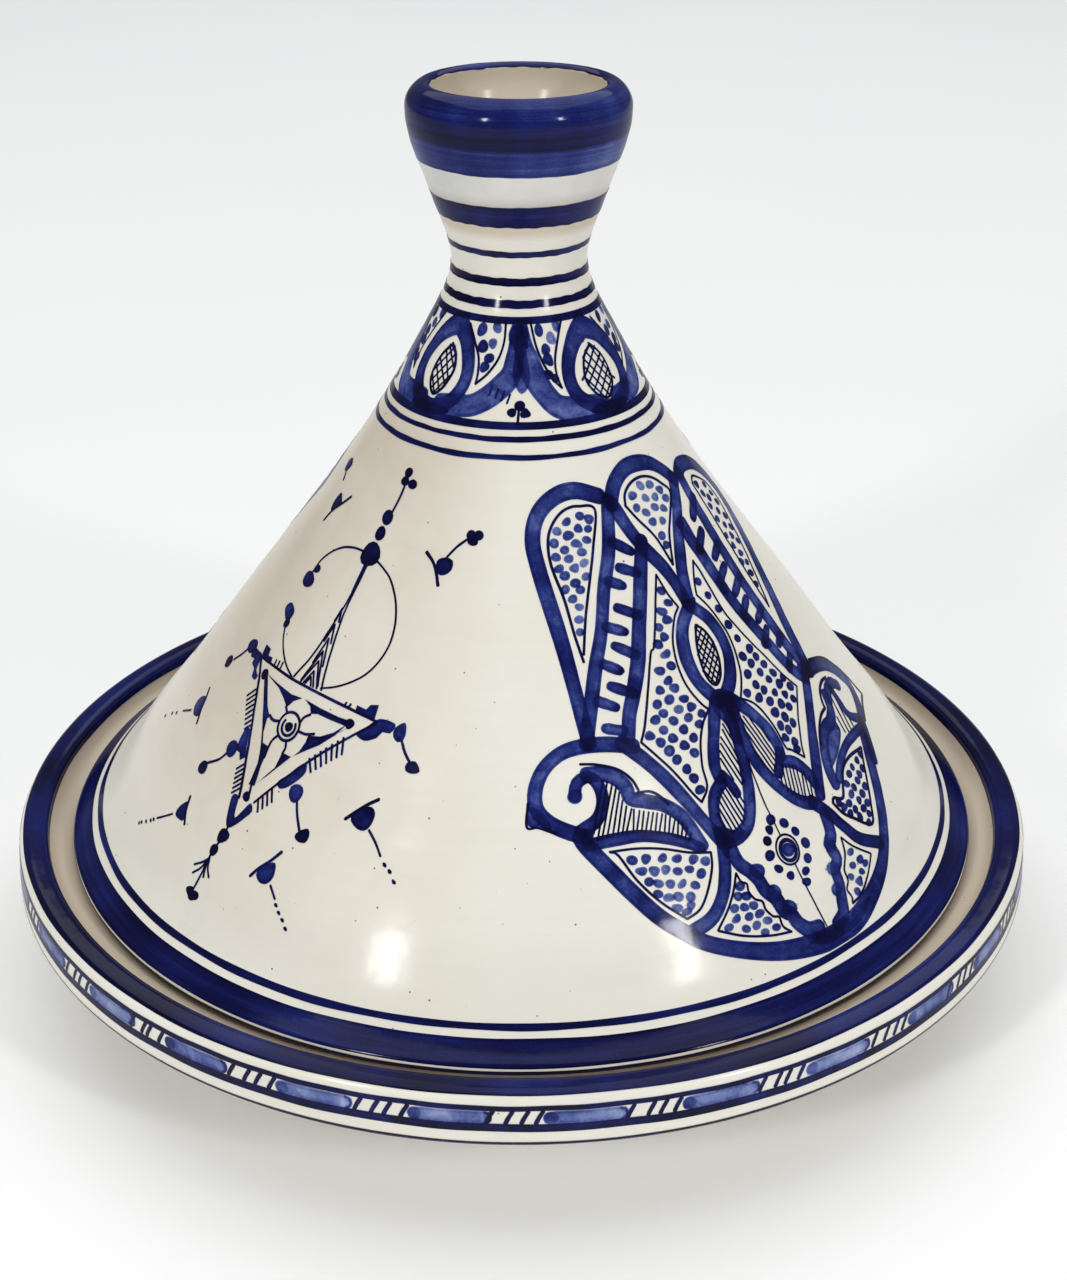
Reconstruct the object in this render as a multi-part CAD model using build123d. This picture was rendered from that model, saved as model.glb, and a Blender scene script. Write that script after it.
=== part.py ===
from build123d import *
import os

# Serving tagine in glazed earthenware: a shallow rimmed dish and a conical lid with an open cup knob.
# Millimetres. +Z is up, and the origin is the middle of the foot ring's resting face.
# Both pieces are thrown on a wheel, so each is one closed outline revolved about Z.

# Dish
RIM_R = 158.8           # widest radius, low on the outside of the rim
DISH_H = 48.0           # height of the rim's crown above the table
RIM_ROLL_R = 4.3        # radius of the crown's outer roll
RIM_CROWN_R = 153.8     # where the crown's outer roll meets its flat top
RIM_INNER_R = 151.5     # where the flat top meets its inner roll
RIM_LOW_Z = 32.5        # lower edge of the rim's outside
FOOT_OUT_R = 80.0       # foot ring, outside
FOOT_IN_R = 69.0        # foot ring, inside
FOOT_H = 6.0            # depth of the foot ring below the bowl
FLOOR_Z = 13.0          # bowl floor at the centre
BASE_T = 7.0            # clay under the bowl floor

# Ledge inside the rim, where the lid stands
LEDGE_Z = 40.0          # height of the flat part
LEDGE_IN_R = 131.0      # inner edge, where the bowl starts
LEDGE_OUT_R = 141.0     # end of the flat part, where it rises to the rim

# Lid
LID_R = 141.8           # widest radius, on the rounded edge of the brim
FOOT_R = 139.4          # outer edge of the lid's flat foot
LID_FOOT_IN_R = 132.5   # inner edge of the lid's flat foot
BRIM_EDGE_R = 141.3     # where the rounded edge turns into the brim's slope
BRIM_EDGE_Z = 44.0
CONE_FOOT_R = 132.0     # where the brim's slope turns into the steeper cone
CONE_FOOT_Z = 51.0
WAIST_R = 19.5          # narrowest part of the neck
WAIST_Z = 218.3
LIP_R = 31.4            # widest part of the knob's lip
LIP_Z = 259.6
LID_TOP_Z = 266.8       # top of the lip
MOUTH_R = 23.8          # inner edge of the lip
MOUTH_Z = 265.4
CUP_FLOOR_Z = 229.0     # bottom of the hollow in the knob
APEX_Z = 196.0          # top of the hollow under the lid


def turned(outline):
    """Solid of revolution about Z from a closed outline in the XZ plane."""
    return revolve(make_face(outline), Axis.Z)


def dish():
    crown_z = DISH_H - RIM_ROLL_R
    rim_side = RIM_CROWN_R + RIM_ROLL_R
    with BuildLine(Plane.XZ) as outline:
        Line((0, FLOOR_Z - BASE_T), (FOOT_IN_R - 5, FLOOR_Z - BASE_T))
        Spline([(FOOT_IN_R - 5, FLOOR_Z - BASE_T), (FOOT_IN_R, 0.8)], tangents=[(1, 0), (0.3, -1)])
        Line((FOOT_IN_R, 0.8), (FOOT_IN_R + 0.8, 0))
        Line((FOOT_IN_R + 0.8, 0), (FOOT_OUT_R - 1.5, 0))
        ThreePointArc((FOOT_OUT_R - 1.5, 0), (FOOT_OUT_R - 0.4, 0.5), (FOOT_OUT_R, 1.6))
        Line((FOOT_OUT_R, 1.6), (FOOT_OUT_R + 1.0, FOOT_H))
        Spline(
            [(FOOT_OUT_R + 1.0, FOOT_H), (116.0, 17.5), (RIM_R - 3.0, RIM_LOW_Z - 1.2)],
            tangents=[(1, 0.12), (1, 0.25)],
        )
        ThreePointArc(
            (RIM_R - 3.0, RIM_LOW_Z - 1.2), (RIM_R - 0.9, RIM_LOW_Z - 0.3), (RIM_R, RIM_LOW_Z + 1.8)
        )
        Line((RIM_R, RIM_LOW_Z + 1.8), (rim_side, crown_z))
        ThreePointArc((rim_side, crown_z), (RIM_CROWN_R + 3.04, DISH_H - 1.26), (RIM_CROWN_R, DISH_H))
        Line((RIM_CROWN_R, DISH_H), (RIM_INNER_R, DISH_H))
        ThreePointArc(
            (RIM_INNER_R, DISH_H), (RIM_INNER_R - 1.9, DISH_H - 0.8), (RIM_INNER_R - 2.7, DISH_H - 2.7)
        )
        Spline(
            [(RIM_INNER_R - 2.7, DISH_H - 2.7), (147.2, LEDGE_Z + 1.8), (LEDGE_OUT_R, LEDGE_Z)],
            tangents=[(-0.08, -1), (-1, 0)],
        )
        Line((LEDGE_OUT_R, LEDGE_Z), (LEDGE_IN_R + 2.0, LEDGE_Z))
        Spline(
            [(LEDGE_IN_R + 2.0, LEDGE_Z), (LEDGE_IN_R, LEDGE_Z - 1.2), (104.0, 21.0), (64.0, FLOOR_Z + 0.8)],
            tangents=[(-1, 0), (-1, -0.04)],
        )
        Line((64.0, FLOOR_Z + 0.8), (0, FLOOR_Z))
        Line((0, FLOOR_Z), (0, FLOOR_Z - BASE_T))
    return turned(outline.line)


def lid():
    with BuildLine(Plane.XZ) as outline:
        Line((LID_FOOT_IN_R, LEDGE_Z), (FOOT_R, LEDGE_Z))
        ThreePointArc((FOOT_R, LEDGE_Z), (LID_R, LEDGE_Z + 2.4), (BRIM_EDGE_R, BRIM_EDGE_Z))
        Spline(
            [
                (BRIM_EDGE_R, BRIM_EDGE_Z),
                (135.6, 47.9),
                (CONE_FOOT_R, CONE_FOOT_Z),
                (120.6, 66.0),
                (108.0, 82.0),
                (90.4, 106.0),
                (60.5, 146.0),
                (36.5, 182.0),
                (25.3, 202.0),
                (WAIST_R, WAIST_Z),
                (22.5, 230.0),
                (26.9, 242.0),
                (LIP_R, LIP_Z),
            ],
            tangents=[(-1, 0.62), (0, 1)],
        )
        ThreePointArc((LIP_R, LIP_Z), (30.0, 264.2), (26.6, LID_TOP_Z))
        ThreePointArc((26.6, LID_TOP_Z), (24.8, LID_TOP_Z - 0.4), (MOUTH_R, MOUTH_Z))
        Spline(
            [(MOUTH_R, MOUTH_Z), (24.5, 262.4), (23.4, 256.5), (18.2, 240.5)],
            tangents=[(0.1, -1), (-0.42, -1)],
        )
        Spline([(18.2, 240.5), (12.0, 232.2), (0, CUP_FLOOR_Z)], tangents=[(-0.42, -1), (-1, 0)])
        Line((0, CUP_FLOOR_Z), (0, APEX_Z))
        Spline([(0, APEX_Z), (20.0, 187.5), (39.0, 163.0)], tangents=[(1, 0), (0.735, -1)])
        Line((39.0, 163.0), (122.0, 50.0))
        Spline([(122.0, 50.0), (125.8, 45.4), (LID_FOOT_IN_R, LEDGE_Z)], tangents=[(0.735, -1), (1, -0.5)])
    return turned(outline.line)


os.makedirs("parts", exist_ok=True)
for name, make in (("base_dish", dish), ("conical_lid", lid)):
    solid = make()
    solid.label = name
    export_step(solid, f"parts/{name}.step")
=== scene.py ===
import math

import bpy
import numpy as np
from mathutils import Euler, Matrix, Vector
from mathutils.geometry import delaunay_2d_cdt
from mathutils.kdtree import KDTree


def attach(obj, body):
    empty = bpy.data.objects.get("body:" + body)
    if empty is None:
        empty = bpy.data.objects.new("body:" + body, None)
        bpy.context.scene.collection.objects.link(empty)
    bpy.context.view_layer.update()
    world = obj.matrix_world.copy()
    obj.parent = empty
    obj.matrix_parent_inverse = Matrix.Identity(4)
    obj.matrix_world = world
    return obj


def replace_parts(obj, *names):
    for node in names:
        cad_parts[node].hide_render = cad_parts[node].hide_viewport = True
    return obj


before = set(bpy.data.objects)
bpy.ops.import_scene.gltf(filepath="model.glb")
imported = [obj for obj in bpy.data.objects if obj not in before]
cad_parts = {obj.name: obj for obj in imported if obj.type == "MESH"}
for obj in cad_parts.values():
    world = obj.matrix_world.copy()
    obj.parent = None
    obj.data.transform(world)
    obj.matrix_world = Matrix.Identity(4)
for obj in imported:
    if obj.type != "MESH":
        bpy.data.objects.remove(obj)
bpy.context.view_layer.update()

# Lengths below are in millimetres, in the part's own frame, until a mesh is made.
MM = 0.001
INSET = 0.25        # the glazed surface lies this far inside the turned shape
PAINT = 0.10        # the cobalt lies this far above the glazed surface
ROW_STEP = 2.6      # most distance along an outline between two rows of a turned mesh
ROW_LEAST = 0.35    # least distance between two rows
ROW_BEND = math.radians(5)      # a row is added where the outline turns by this much

CONE_RATIO = 0.6    # turning radius over slant radius, for unrolling the cone
APEX = 215.0        # height of the unrolled cone's centre above the sheet's origin
HALF_SHEET = math.radians(180 * CONE_RATIO)     # half the unrolled cone's angle
HAND_AZIMUTH = 28.0
BROOCH_AZIMUTH = -38.0
RIM_RADIUS = 158.0  # radius at which the rim's strip is laid out flat
RIM_TURN = math.radians(5.7)    # where the strip's middle lies, from the front
STRIP_FOOT = 35.4   # height on the rim's outside at which the strip is placed

rng = np.random.default_rng(7)

# ---------------------------------------------------------------- outlines


def arc(a, b, c, step=0.35):
    """Points on the arc from a through b to c."""
    (ax, ay), (bx, by), (cx, cy) = a, b, c
    d = 2 * (ax * (by - cy) + bx * (cy - ay) + cx * (ay - by))
    a2, b2, c2 = ax * ax + ay * ay, bx * bx + by * by, cx * cx + cy * cy
    ux = (a2 * (by - cy) + b2 * (cy - ay) + c2 * (ay - by)) / d
    uy = (a2 * (cx - bx) + b2 * (ax - cx) + c2 * (bx - ax)) / d
    radius = math.hypot(ax - ux, ay - uy)
    start = math.atan2(ay - uy, ax - ux)
    middle = math.atan2(by - uy, bx - ux)
    end = math.atan2(cy - uy, cx - ux)
    turn = (end - start) % math.tau
    if (middle - start) % math.tau > turn:
        turn -= math.tau
    count = max(4, int(abs(turn) * radius / step))
    angles = start + turn * np.linspace(0, 1, count + 1)
    return np.column_stack((ux + radius * np.cos(angles), uy + radius * np.sin(angles)))


def spline(points, start=None, end=None, step=0.5):
    """A smooth cubic through the points, with its end directions if given."""
    p = np.array(points, float)
    h = np.hypot(*np.diff(p, axis=0).T)
    t = np.concatenate(([0], np.cumsum(h)))
    slope = np.diff(p, axis=0) / h[:, None]
    n = len(p)
    a = np.zeros((n, n))
    b = np.zeros((n, 2))
    for i in range(1, n - 1):
        a[i, i - 1:i + 2] = h[i], 2 * (h[i - 1] + h[i]), h[i - 1]
        b[i] = 3 * (h[i] * slope[i - 1] + h[i - 1] * slope[i])
    for row, side, direction, chord in ((0, 1, start, slope[0]), (n - 1, n - 2, end, slope[-1])):
        if direction is None:
            a[row, row], a[row, side] = 2, 1
            b[row] = 3 * chord
        else:
            a[row, row] = 1
            b[row] = np.array(direction) / np.hypot(*direction)
    m = np.linalg.solve(a, b)
    u = np.linspace(0, t[-1], max(3, int(t[-1] / step)) + 1)
    i = np.clip(np.searchsorted(t, u, side="right") - 1, 0, n - 2)
    w = ((u - t[i]) / h[i])[:, None]
    hi = h[i][:, None]
    return (p[i] * (1 + 2 * w) * (1 - w) ** 2 + p[i + 1] * w * w * (3 - 2 * w)
            + m[i] * hi * w * (1 - w) ** 2 - m[i + 1] * hi * w * w * (1 - w))


def line(a, b, step=2.0):
    count = max(1, int(math.hypot(b[0] - a[0], b[1] - a[1]) / step))
    return np.linspace(a, b, count + 1)


class Turned:
    """A turned surface: one outline of (radius, height), walked with its outside on the right."""

    def __init__(self, *parts):
        chain = [parts[0]]
        for part in parts[1:]:
            gap = np.hypot(*(part[0] - chain[-1][-1]))
            chain.append(part[1:] if gap < 1e-6 else part)
        raw = np.vstack(chain)
        length = np.concatenate(([0], np.cumsum(np.hypot(*np.diff(raw, axis=0).T))))
        self.s = np.arange(0, length[-1], 0.2)
        self.r = np.interp(self.s, length, raw[:, 0])
        self.z = np.interp(self.s, length, raw[:, 1])
        dr = np.gradient(self.r, self.s)
        dz = np.gradient(self.z, self.s)
        kernel = np.ones(5) / 5
        dr, dz = (np.convolve(np.pad(v, 2, mode="edge"), kernel, "valid") for v in (dr, dz))
        size = np.hypot(dr, dz)
        self.nr, self.nz = dz / size, -dr / size

    def near(self, r, z):
        """How far along the outline the point nearest to (r, z) is."""
        return self.s[np.argmin((self.r - r) ** 2 + (self.z - z) ** 2)]

    def at(self, s, azimuth, lift=0.0):
        """Points and outward directions, with faint throwing rings and a slight oval.

        Azimuth 0 is the front and grows towards +X.
        """
        s, azimuth = np.broadcast_arrays(s, azimuth)
        r, z, nr, nz = (np.interp(s, self.s, v) for v in (self.r, self.z, self.nr, self.nz))
        rings = 0.030 * np.sin(s * 1.05 + 0.8 * np.sin(azimuth)) + 0.022 * np.sin(s * 0.41 + azimuth)
        oval = 0.025 * np.sin(2 * azimuth + 0.6) * np.sin(s * 0.02)
        off = (lift - INSET + rings + oval) * np.clip(r / 12.0, 0, 1)
        sin, cos = np.sin(azimuth), np.cos(azimuth)
        rr = r + off * nr
        where = np.stack((rr * sin, -rr * cos, z + off * nz), -1)
        size = np.hypot(nr, nz)
        normal = np.stack((nr * sin, -nr * cos, nz), -1) / size[..., None]
        return where, normal


dish = Turned(
    line((0, 6), (64, 6), 4),
    spline([(64, 6), (69, 0.8)]),
    line((69, 0.8), (69.8, 0), 0.5),
    line((69.8, 0), (78.5, 0)),
    arc((78.5, 0), (79.6, 0.5), (80, 1.6)),
    spline([(80, 1.6), (81, 6), (116, 17.5), (155.8, 31.3)], (0.1, 1), (1, 0.34)),
    arc((155.8, 31.3), (157.9, 32.2), (158.8, 34.3)),
    line((158.8, 34.3), (158.1, 43.7), 0.8),
    arc((158.1, 43.7), (156.84, 46.74), (153.8, 48)),
    line((153.8, 48), (151.5, 48), 0.6),
    arc((151.5, 48), (149.6, 47.2), (148.8, 45.3)),
    spline([(148.8, 45.3), (147.2, 41.8), (141, 40), (133, 40)], (-0.08, -1), (-1, 0)),
    spline([(133, 40), (131, 38.8), (104, 21), (64, 13.8), (0, 13)], None, (-1, 0)),
)
lid = Turned(
    spline([(0, 196), (20, 187.5), (39, 163)], (1, 0), (83, -113)),
    line((39, 163), (122, 50), 3),
    spline([(122, 50), (125.8, 45.4), (132.5, 40)], (83, -113), None),
    line((132.5, 40), (139.4, 40), 0.8),
    arc((139.4, 40), (141.8, 42.4), (141.3, 44)),
    spline([(141.3, 44), (135.6, 47.9), (132, 51), (120.6, 66), (108, 82), (90.4, 106), (60.5, 146),
            (36.5, 182), (25.3, 202), (19.5, 218.3), (22.5, 230), (26.9, 242), (31.4, 259.6)],
           (-1, 0.62), (0, 1)),
    arc((31.4, 259.6), (30, 264.2), (26.6, 266.8)),
    arc((26.6, 266.8), (24.8, 266.4), (23.8, 265.4)),
    spline([(23.8, 265.4), (24.5, 262.4), (23.4, 256.5), (18.2, 240.5)]),
    spline([(18.2, 240.5), (12, 232.2), (0, 229)], None, (-1, 0)),
)

# ---------------------------------------------------------------- meshes


def linked(name, data):
    thing = bpy.data.objects.new(name, data)
    bpy.context.scene.collection.objects.link(thing)
    return thing


def new_piece(name, verts, faces, body, material, normals=None):
    mesh = bpy.data.meshes.new(name)
    mesh.from_pydata((np.asarray(verts) * MM).tolist(), [], faces)
    mesh.polygons.foreach_set("use_smooth", [True] * len(mesh.polygons))
    mesh.update()
    if normals is not None:
        mesh.normals_split_custom_set_from_vertices(np.asarray(normals).tolist())
    mesh.materials.append(material)
    piece = linked(name, mesh)
    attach(piece, body)
    return piece


def add_uv(mesh, uv_of_vertex):
    """The layout that a baked colour map uses: one place for each vertex."""
    layer = mesh.uv_layers.new(name="OFBake")
    corner = np.empty(len(mesh.loops), int)
    mesh.loops.foreach_get("vertex_index", corner)
    layer.data.foreach_set("uv", uv_of_vertex[corner].ravel())


def rows_of(shape):
    """Distances along the outline, close together where it bends."""
    chosen = [0]
    angle = np.unwrap(np.arctan2(shape.nz, shape.nr))
    for i in range(1, len(shape.s)):
        far = shape.s[i] - shape.s[chosen[-1]]
        bend = abs(angle[i] - angle[chosen[-1]])
        if far > ROW_STEP or bend > ROW_BEND and far > ROW_LEAST:
            chosen.append(i)
    return shape.s[np.array(chosen + [len(shape.s) - 1])]


def ring_quads(rows, segments):
    """Faces between closed rings of vertices, numbered ring by ring."""
    i, j = np.meshgrid(np.arange(rows - 1), np.arange(segments), indexing="ij")
    k = (j + 1) % segments
    quads = (i * segments + j, i * segments + k, (i + 1) * segments + k, (i + 1) * segments + j)
    return np.stack(quads, -1).reshape(-1, 4)


def turned_piece(name, shape, body, material, segments=256):
    """The whole glazed surface of one pot, closed on its axis by a fan at each end."""
    rows = rows_of(shape)[1:-1]
    azimuth = np.linspace(0, math.tau, segments, endpoint=False)
    where, normal = shape.at(rows[:, None], azimuth[None, :])
    count = len(rows)
    verts = np.vstack((where.reshape(-1, 3), [(0, 0, shape.z[0]), (0, 0, shape.z[-1])]))
    first, last = len(verts) - 2, len(verts) - 1
    faces = ring_quads(count, segments).tolist()
    for j in range(segments):
        k = (j + 1) % segments
        faces.append((first, k, j))
        faces.append((last, (count - 1) * segments + j, (count - 1) * segments + k))
    return new_piece(name, verts, faces, body, material)


def smooth_noise(count, wave, size):
    """A closed run of gentle random values, for a line drawn by hand on a turning wheel."""
    angle = np.linspace(0, math.tau, count, endpoint=False)
    total = np.zeros(count)
    for k in wave:
        total += rng.normal() * np.sin(k * angle) / len(wave) ** 0.5
        total += rng.normal() * np.cos(k * angle) / len(wave) ** 0.5
    return size * total


def band(name, shape, body, stripes, segments=420):
    """Bands painted while the piece turned. Each stripe is (start, end, tone, wobble)."""
    verts, normals, faces, tones, edges = [], [], [], [], []
    azimuth = np.linspace(0, math.tau, segments, endpoint=False)
    offset = 0
    for start, end, tone, wobble in stripes:
        low = start + smooth_noise(segments, (1, 2, 3, 7, 13, 29), wobble)
        high = end + smooth_noise(segments, (1, 2, 3, 8, 17, 31), wobble)
        load = smooth_noise(segments, (1, 2, 4, 9, 21), 0.035)
        rows = max(3, int((end - start) / 0.55) + 1)
        t = np.linspace(0, 1, rows)
        s = low[None, :] + (high - low)[None, :] * t[:, None]
        where, normal = shape.at(s, azimuth[None, :], PAINT)
        verts.append(where.reshape(-1, 3))
        normals.append(normal.reshape(-1, 3))
        far = np.minimum(s - low[None, :], high[None, :] - s)
        edges.append(far.ravel())
        along = tone(t)[:, None] if callable(tone) else np.full((rows, 1), tone)
        tones.append((along + load[None, :]).ravel())
        faces.extend((ring_quads(rows, segments) + offset).tolist())
        offset += rows * segments
    piece = new_piece(name, np.vstack(verts), faces, body, cobalt_bands, np.vstack(normals))
    set_paint(piece.data, np.concatenate(tones), np.concatenate(edges))


def set_paint(mesh, tone, edge, per_corner=False):
    """What the cobalt material reads: how dark the paint is, and how far it is to the bare glaze."""
    domain = "CORNER" if per_corner else "POINT"
    mesh.attributes.new("tone", "FLOAT", domain).data.foreach_set("value", tone)
    mesh.attributes.new("edge", "FLOAT", "POINT").data.foreach_set("value", edge)


# ---------------------------------------------------------------- brush marks

WASH, MID, DEEP, LINE, INK = 0.42, 0.60, 0.72, 0.86, 0.93   # how dark the paint is
FINE = 0.7      # width of a line drawn with the brush tip


def walk(points, step, closed=False):
    """A smooth line through given points, at even steps. A point given twice is a corner."""
    p = np.array(points, float)
    if len(p) == 2 and not closed:
        count = max(1, int(np.hypot(*(p[1] - p[0])) / step))
        return np.linspace(p[0], p[1], count + 1)
    if closed:
        p = np.vstack((p[-1], p, p[0], p[1]))
    else:
        p = np.vstack((2 * p[0] - p[1], p, 2 * p[-1] - p[-2]))
    out = []
    for a, b, c, d in zip(p, p[1:], p[2:], p[3:]):
        count = max(1, int(round(np.hypot(*(c - b)) / step)))
        t = np.linspace(0, 1, count, endpoint=False)[:, None]
        out.append(0.5 * (2 * b + (c - a) * t + (2 * a - 5 * b + 4 * c - d) * t ** 2
                          + (3 * b - a - 3 * c + d) * t ** 3))
    if not closed:
        out.append(p[-2:-1])
    return np.vstack(out)


def loop(x, y, rx, ry, first=0, last=360, step=30):
    """Points round an oval, by degrees."""
    turn = np.radians(np.arange(first, last + step / 2, step))
    return np.column_stack((x + rx * np.cos(turn), y + ry * np.sin(turn)))


def inside(points, ring):
    """Which points lie within a closed outline."""
    x, y = points[:, 0:1], points[:, 1:2]
    a, b = ring, np.roll(ring, -1, axis=0)
    crosses = (a[:, 1] > y) != (b[:, 1] > y)
    with np.errstate(divide="ignore", invalid="ignore"):
        at_x = a[:, 0] + (y - a[:, 1]) * (b[:, 0] - a[:, 0]) / (b[:, 1] - a[:, 1])
    return (np.sum(crosses & (x < at_x), axis=1) % 2) == 1


class Sheet:
    """Brush marks on a flat sheet in mm, merged so that crossing marks are one darker layer."""

    OUTLINE_STEP = 1.0      # between the points round a filled shape
    GRID_STEP = 1.5         # between the points inside it
    DOT_SIDES = 14
    CAP = 0.75              # how far a stroke's round end bulges, in half widths
    THIN = 1.5              # a stroke up to this wide has no points along its middle
    BARE = 0.01             # less paint than this isn't drawn
    PAIRS = 2000000         # points times triangles compared at a time

    def __init__(self, shape, place):
        self.shape = shape
        self.place = place
        self.verts, self.edges, self.marks = [], [], []
        self.seams = []
        self.turn = None
        self.touch = 1.0

    def about_apex(self, degrees):
        """Turns the marks that follow about the unrolled cone's centre."""
        self.turn = math.radians(degrees)

    def _put(self, points):
        p = np.asarray(points, float)
        if self.turn:
            c, s = math.cos(self.turn), math.sin(self.turn)
            x, y = p[..., 0], p[..., 1] - APEX
            p = np.stack((c * x - s * y, s * x + c * y + APEX), -1)
        return p

    def _mark(self, ring, loose, tone, triangles=None):
        """A closed outline, points within it, and the triangles it covers (or all of the outline)."""
        ring, first = self._put(ring), len(self.verts)
        self.verts.extend(map(tuple, ring))
        self.edges.extend((first + i, first + (i + 1) % len(ring)) for i in range(len(ring)))
        self.verts.extend(map(tuple, self._put(loose)))
        self.marks.append((ring, None if triangles is None else self._put(triangles), tone))

    def fill(self, outline, tone, smooth=True):
        """A closed shape filled in with the brush."""
        step = self.OUTLINE_STEP
        ring = walk(outline, step, closed=True) if smooth else corners(outline, step)
        across, up = (np.arange(a, b, self.GRID_STEP) for a, b in zip(ring.min(0), ring.max(0)))
        grid = np.stack(np.meshgrid(across, up), -1).reshape(-1, 2)
        self._mark(ring, grid[inside(grid, ring)], tone)

    def dot(self, x, y, rx, ry, tone, lean=0.0):
        """One touch of the brush tip."""
        a = np.linspace(0, math.tau, self.DOT_SIDES, endpoint=False)
        wave = 1 + 0.05 * rng.normal() * np.cos(2 * a) + 0.05 * rng.normal() * np.cos(3 * a + 1)
        c, s = math.cos(lean), math.sin(lean)
        px, py = rx * wave * np.cos(a), ry * wave * np.sin(a)
        self._mark(np.column_stack((x + c * px - s * py, y + s * px + c * py)), [(x, y)], tone)

    def stroke(self, points, width=FINE, tone=LINE, ends=(1.0, 1.0)):
        """A brush stroke along a line. ends scales its width at the start and the end."""
        mid = walk(points, min(1.1, max(0.6, width * 0.45)))
        tangent = np.gradient(mid, axis=0)
        tangent /= np.hypot(*tangent.T)[:, None]
        side = np.column_stack((-tangent[:, 1], tangent[:, 0]))
        t = np.linspace(0, 1, len(mid))
        swell = 1 + 0.04 * np.sin(5 * t + rng.uniform(0, 6)) + 0.03 * np.sin(13 * t + rng.uniform(0, 6))
        grow = np.interp(t, (0, 0.18, 0.82, 1), (ends[0], 1, 1, ends[1]))
        half = (0.5 * width * swell * grow)[:, None]
        left, right = mid + side * half, mid - side * half
        angles = np.linspace(0, math.pi, 7)[1:-1, None]
        caps = [mid[i] + half[i] * (side[i] * np.cos(angles) + bulge * tangent[i] * np.sin(angles))
                for i, bulge in ((0, -self.CAP), (-1, self.CAP))]
        triangles = [np.stack(corner, 1) for edge in (left, right)
                     for corner in ((edge[:-1], mid[:-1], mid[1:]), (edge[:-1], mid[1:], edge[1:]))]
        for i, bow in zip((0, -1), caps):
            fan = np.vstack((left[i], bow, right[i]))
            triangles.append(np.stack((np.repeat(mid[i][None], len(fan) - 1, 0), fan[:-1], fan[1:]), 1))
        ring = np.vstack((left, caps[1], right[::-1], caps[0][::-1]))
        self._mark(ring, mid if width > self.THIN else mid[:0], tone, np.concatenate(triangles))

    def dots(self, places, rx, ry, tone, spread=0.06):
        """Touches of one size, each a little larger, smaller, darker or lighter than the last."""
        for x, y in places:
            scale = self.touch * (1 + spread * rng.normal())
            self.dot(x, y, rx * scale, ry * scale, tone + 0.03 * rng.normal(), rng.uniform(-0.5, 0.5))

    def _tones(self, middle):
        """How dark the paint is at each point: every mark that covers it adds its layer."""
        clear = np.ones(len(middle))
        for ring, triangles, tone in self.marks:
            low, high = ring.min(0) - 0.01, ring.max(0) + 0.01
            near = np.nonzero(np.all((middle >= low) & (middle <= high), axis=1))[0]
            if triangles is None:
                clear[near[inside(middle[near], ring)]] *= 1 - tone
                continue
            for some in np.array_split(near, 1 + len(near) * len(triangles) // self.PAIRS):
                p = middle[some][:, None]
                turns = []
                for k in range(3):
                    a, b = triangles[:, k], triangles[:, (k + 1) % 3]
                    turns.append((b[:, 0] - a[:, 0]) * (p[..., 1] - a[:, 1])
                                 - (b[:, 1] - a[:, 1]) * (p[..., 0] - a[:, 0]))
                turns = np.stack(turns)
                hit = np.any(np.all(turns >= 0, axis=0) | np.all(turns <= 0, axis=0), axis=1)
                clear[some[hit]] *= 1 - tone
        return 1 - clear

    def make(self, name, body, keep=None):
        """Lays the merged marks on the pot. keep says which of them are in, where the sheet has ends."""
        verts = [Vector(v) for v in self.verts]
        edges = list(self.edges)
        for a, b in self.seams:
            edges.append((len(verts), len(verts) + 1))
            verts.extend((Vector(a), Vector(b)))
        points, _, faces, *_ = delaunay_2d_cdt(verts, edges, [], 0, 1e-3, False)
        points = np.array(points)
        faces = np.array(faces)
        middle = points[faces].mean(1)
        tone = self._tones(middle)
        good = tone > self.BARE
        if keep is not None:
            good &= keep(middle)
        faces, tone = faces[good], tone[good]
        used, faces = np.unique(faces, return_inverse=True)
        faces = faces.reshape(-1, 3)
        points = points[used]
        # each corner's tone is half its triangle's and half the average of those around it
        total, share = np.zeros(len(points)), np.zeros(len(points))
        for c in range(3):
            np.add.at(total, faces[:, c], tone)
            np.add.at(share, faces[:, c], 1)
        soft = total / share
        corner = 0.5 * tone[:, None] + 0.5 * soft[faces]
        # distance from the bare glaze
        sides = np.sort(np.concatenate((faces[:, [0, 1]], faces[:, [1, 2]], faces[:, [2, 0]])), axis=1)
        sides, uses = np.unique(sides, axis=0, return_counts=True)
        rim = sides[uses == 1]
        if keep is not None:
            rim = rim[keep(points[rim].mean(1), margin=-1e-4)]
        marks = np.vstack((points[rim].mean(1), points[rim[:, 0]], points[rim[:, 1]]))
        tree = KDTree(len(marks))
        for i, (x, y) in enumerate(marks):
            tree.insert((x, y, 0), i)
        tree.balance()
        edge = np.array([tree.find((x, y, 0))[2] for x, y in points])
        edge[np.unique(rim)] = 0
        s, azimuth = self.place(points)
        where, normal = self.shape.at(s, azimuth, PAINT)
        a, b, c = where[faces[:, 0]], where[faces[:, 1]], where[faces[:, 2]]
        flip = np.sum(np.cross(b - a, c - a) * normal[faces[:, 0]], axis=1) < 0
        faces[flip] = faces[flip][:, ::-1]
        corner[flip] = corner[flip][:, ::-1]
        piece = new_piece(name, where, faces.tolist(), body, cobalt_brush, normal)
        set_paint(piece.data, corner.ravel(), edge, per_corner=True)
        low, high = points.min(0), points.max(0)
        add_uv(piece.data, 0.005 + 0.99 * (points - low) / (high - low))


def corners(outline, step):
    """A closed outline with straight sides, divided into even steps."""
    out = []
    for a, b in zip(outline, [*outline[1:], outline[0]]):
        out.append(walk([a, b], step)[:-1])
    return np.vstack(out)


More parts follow.
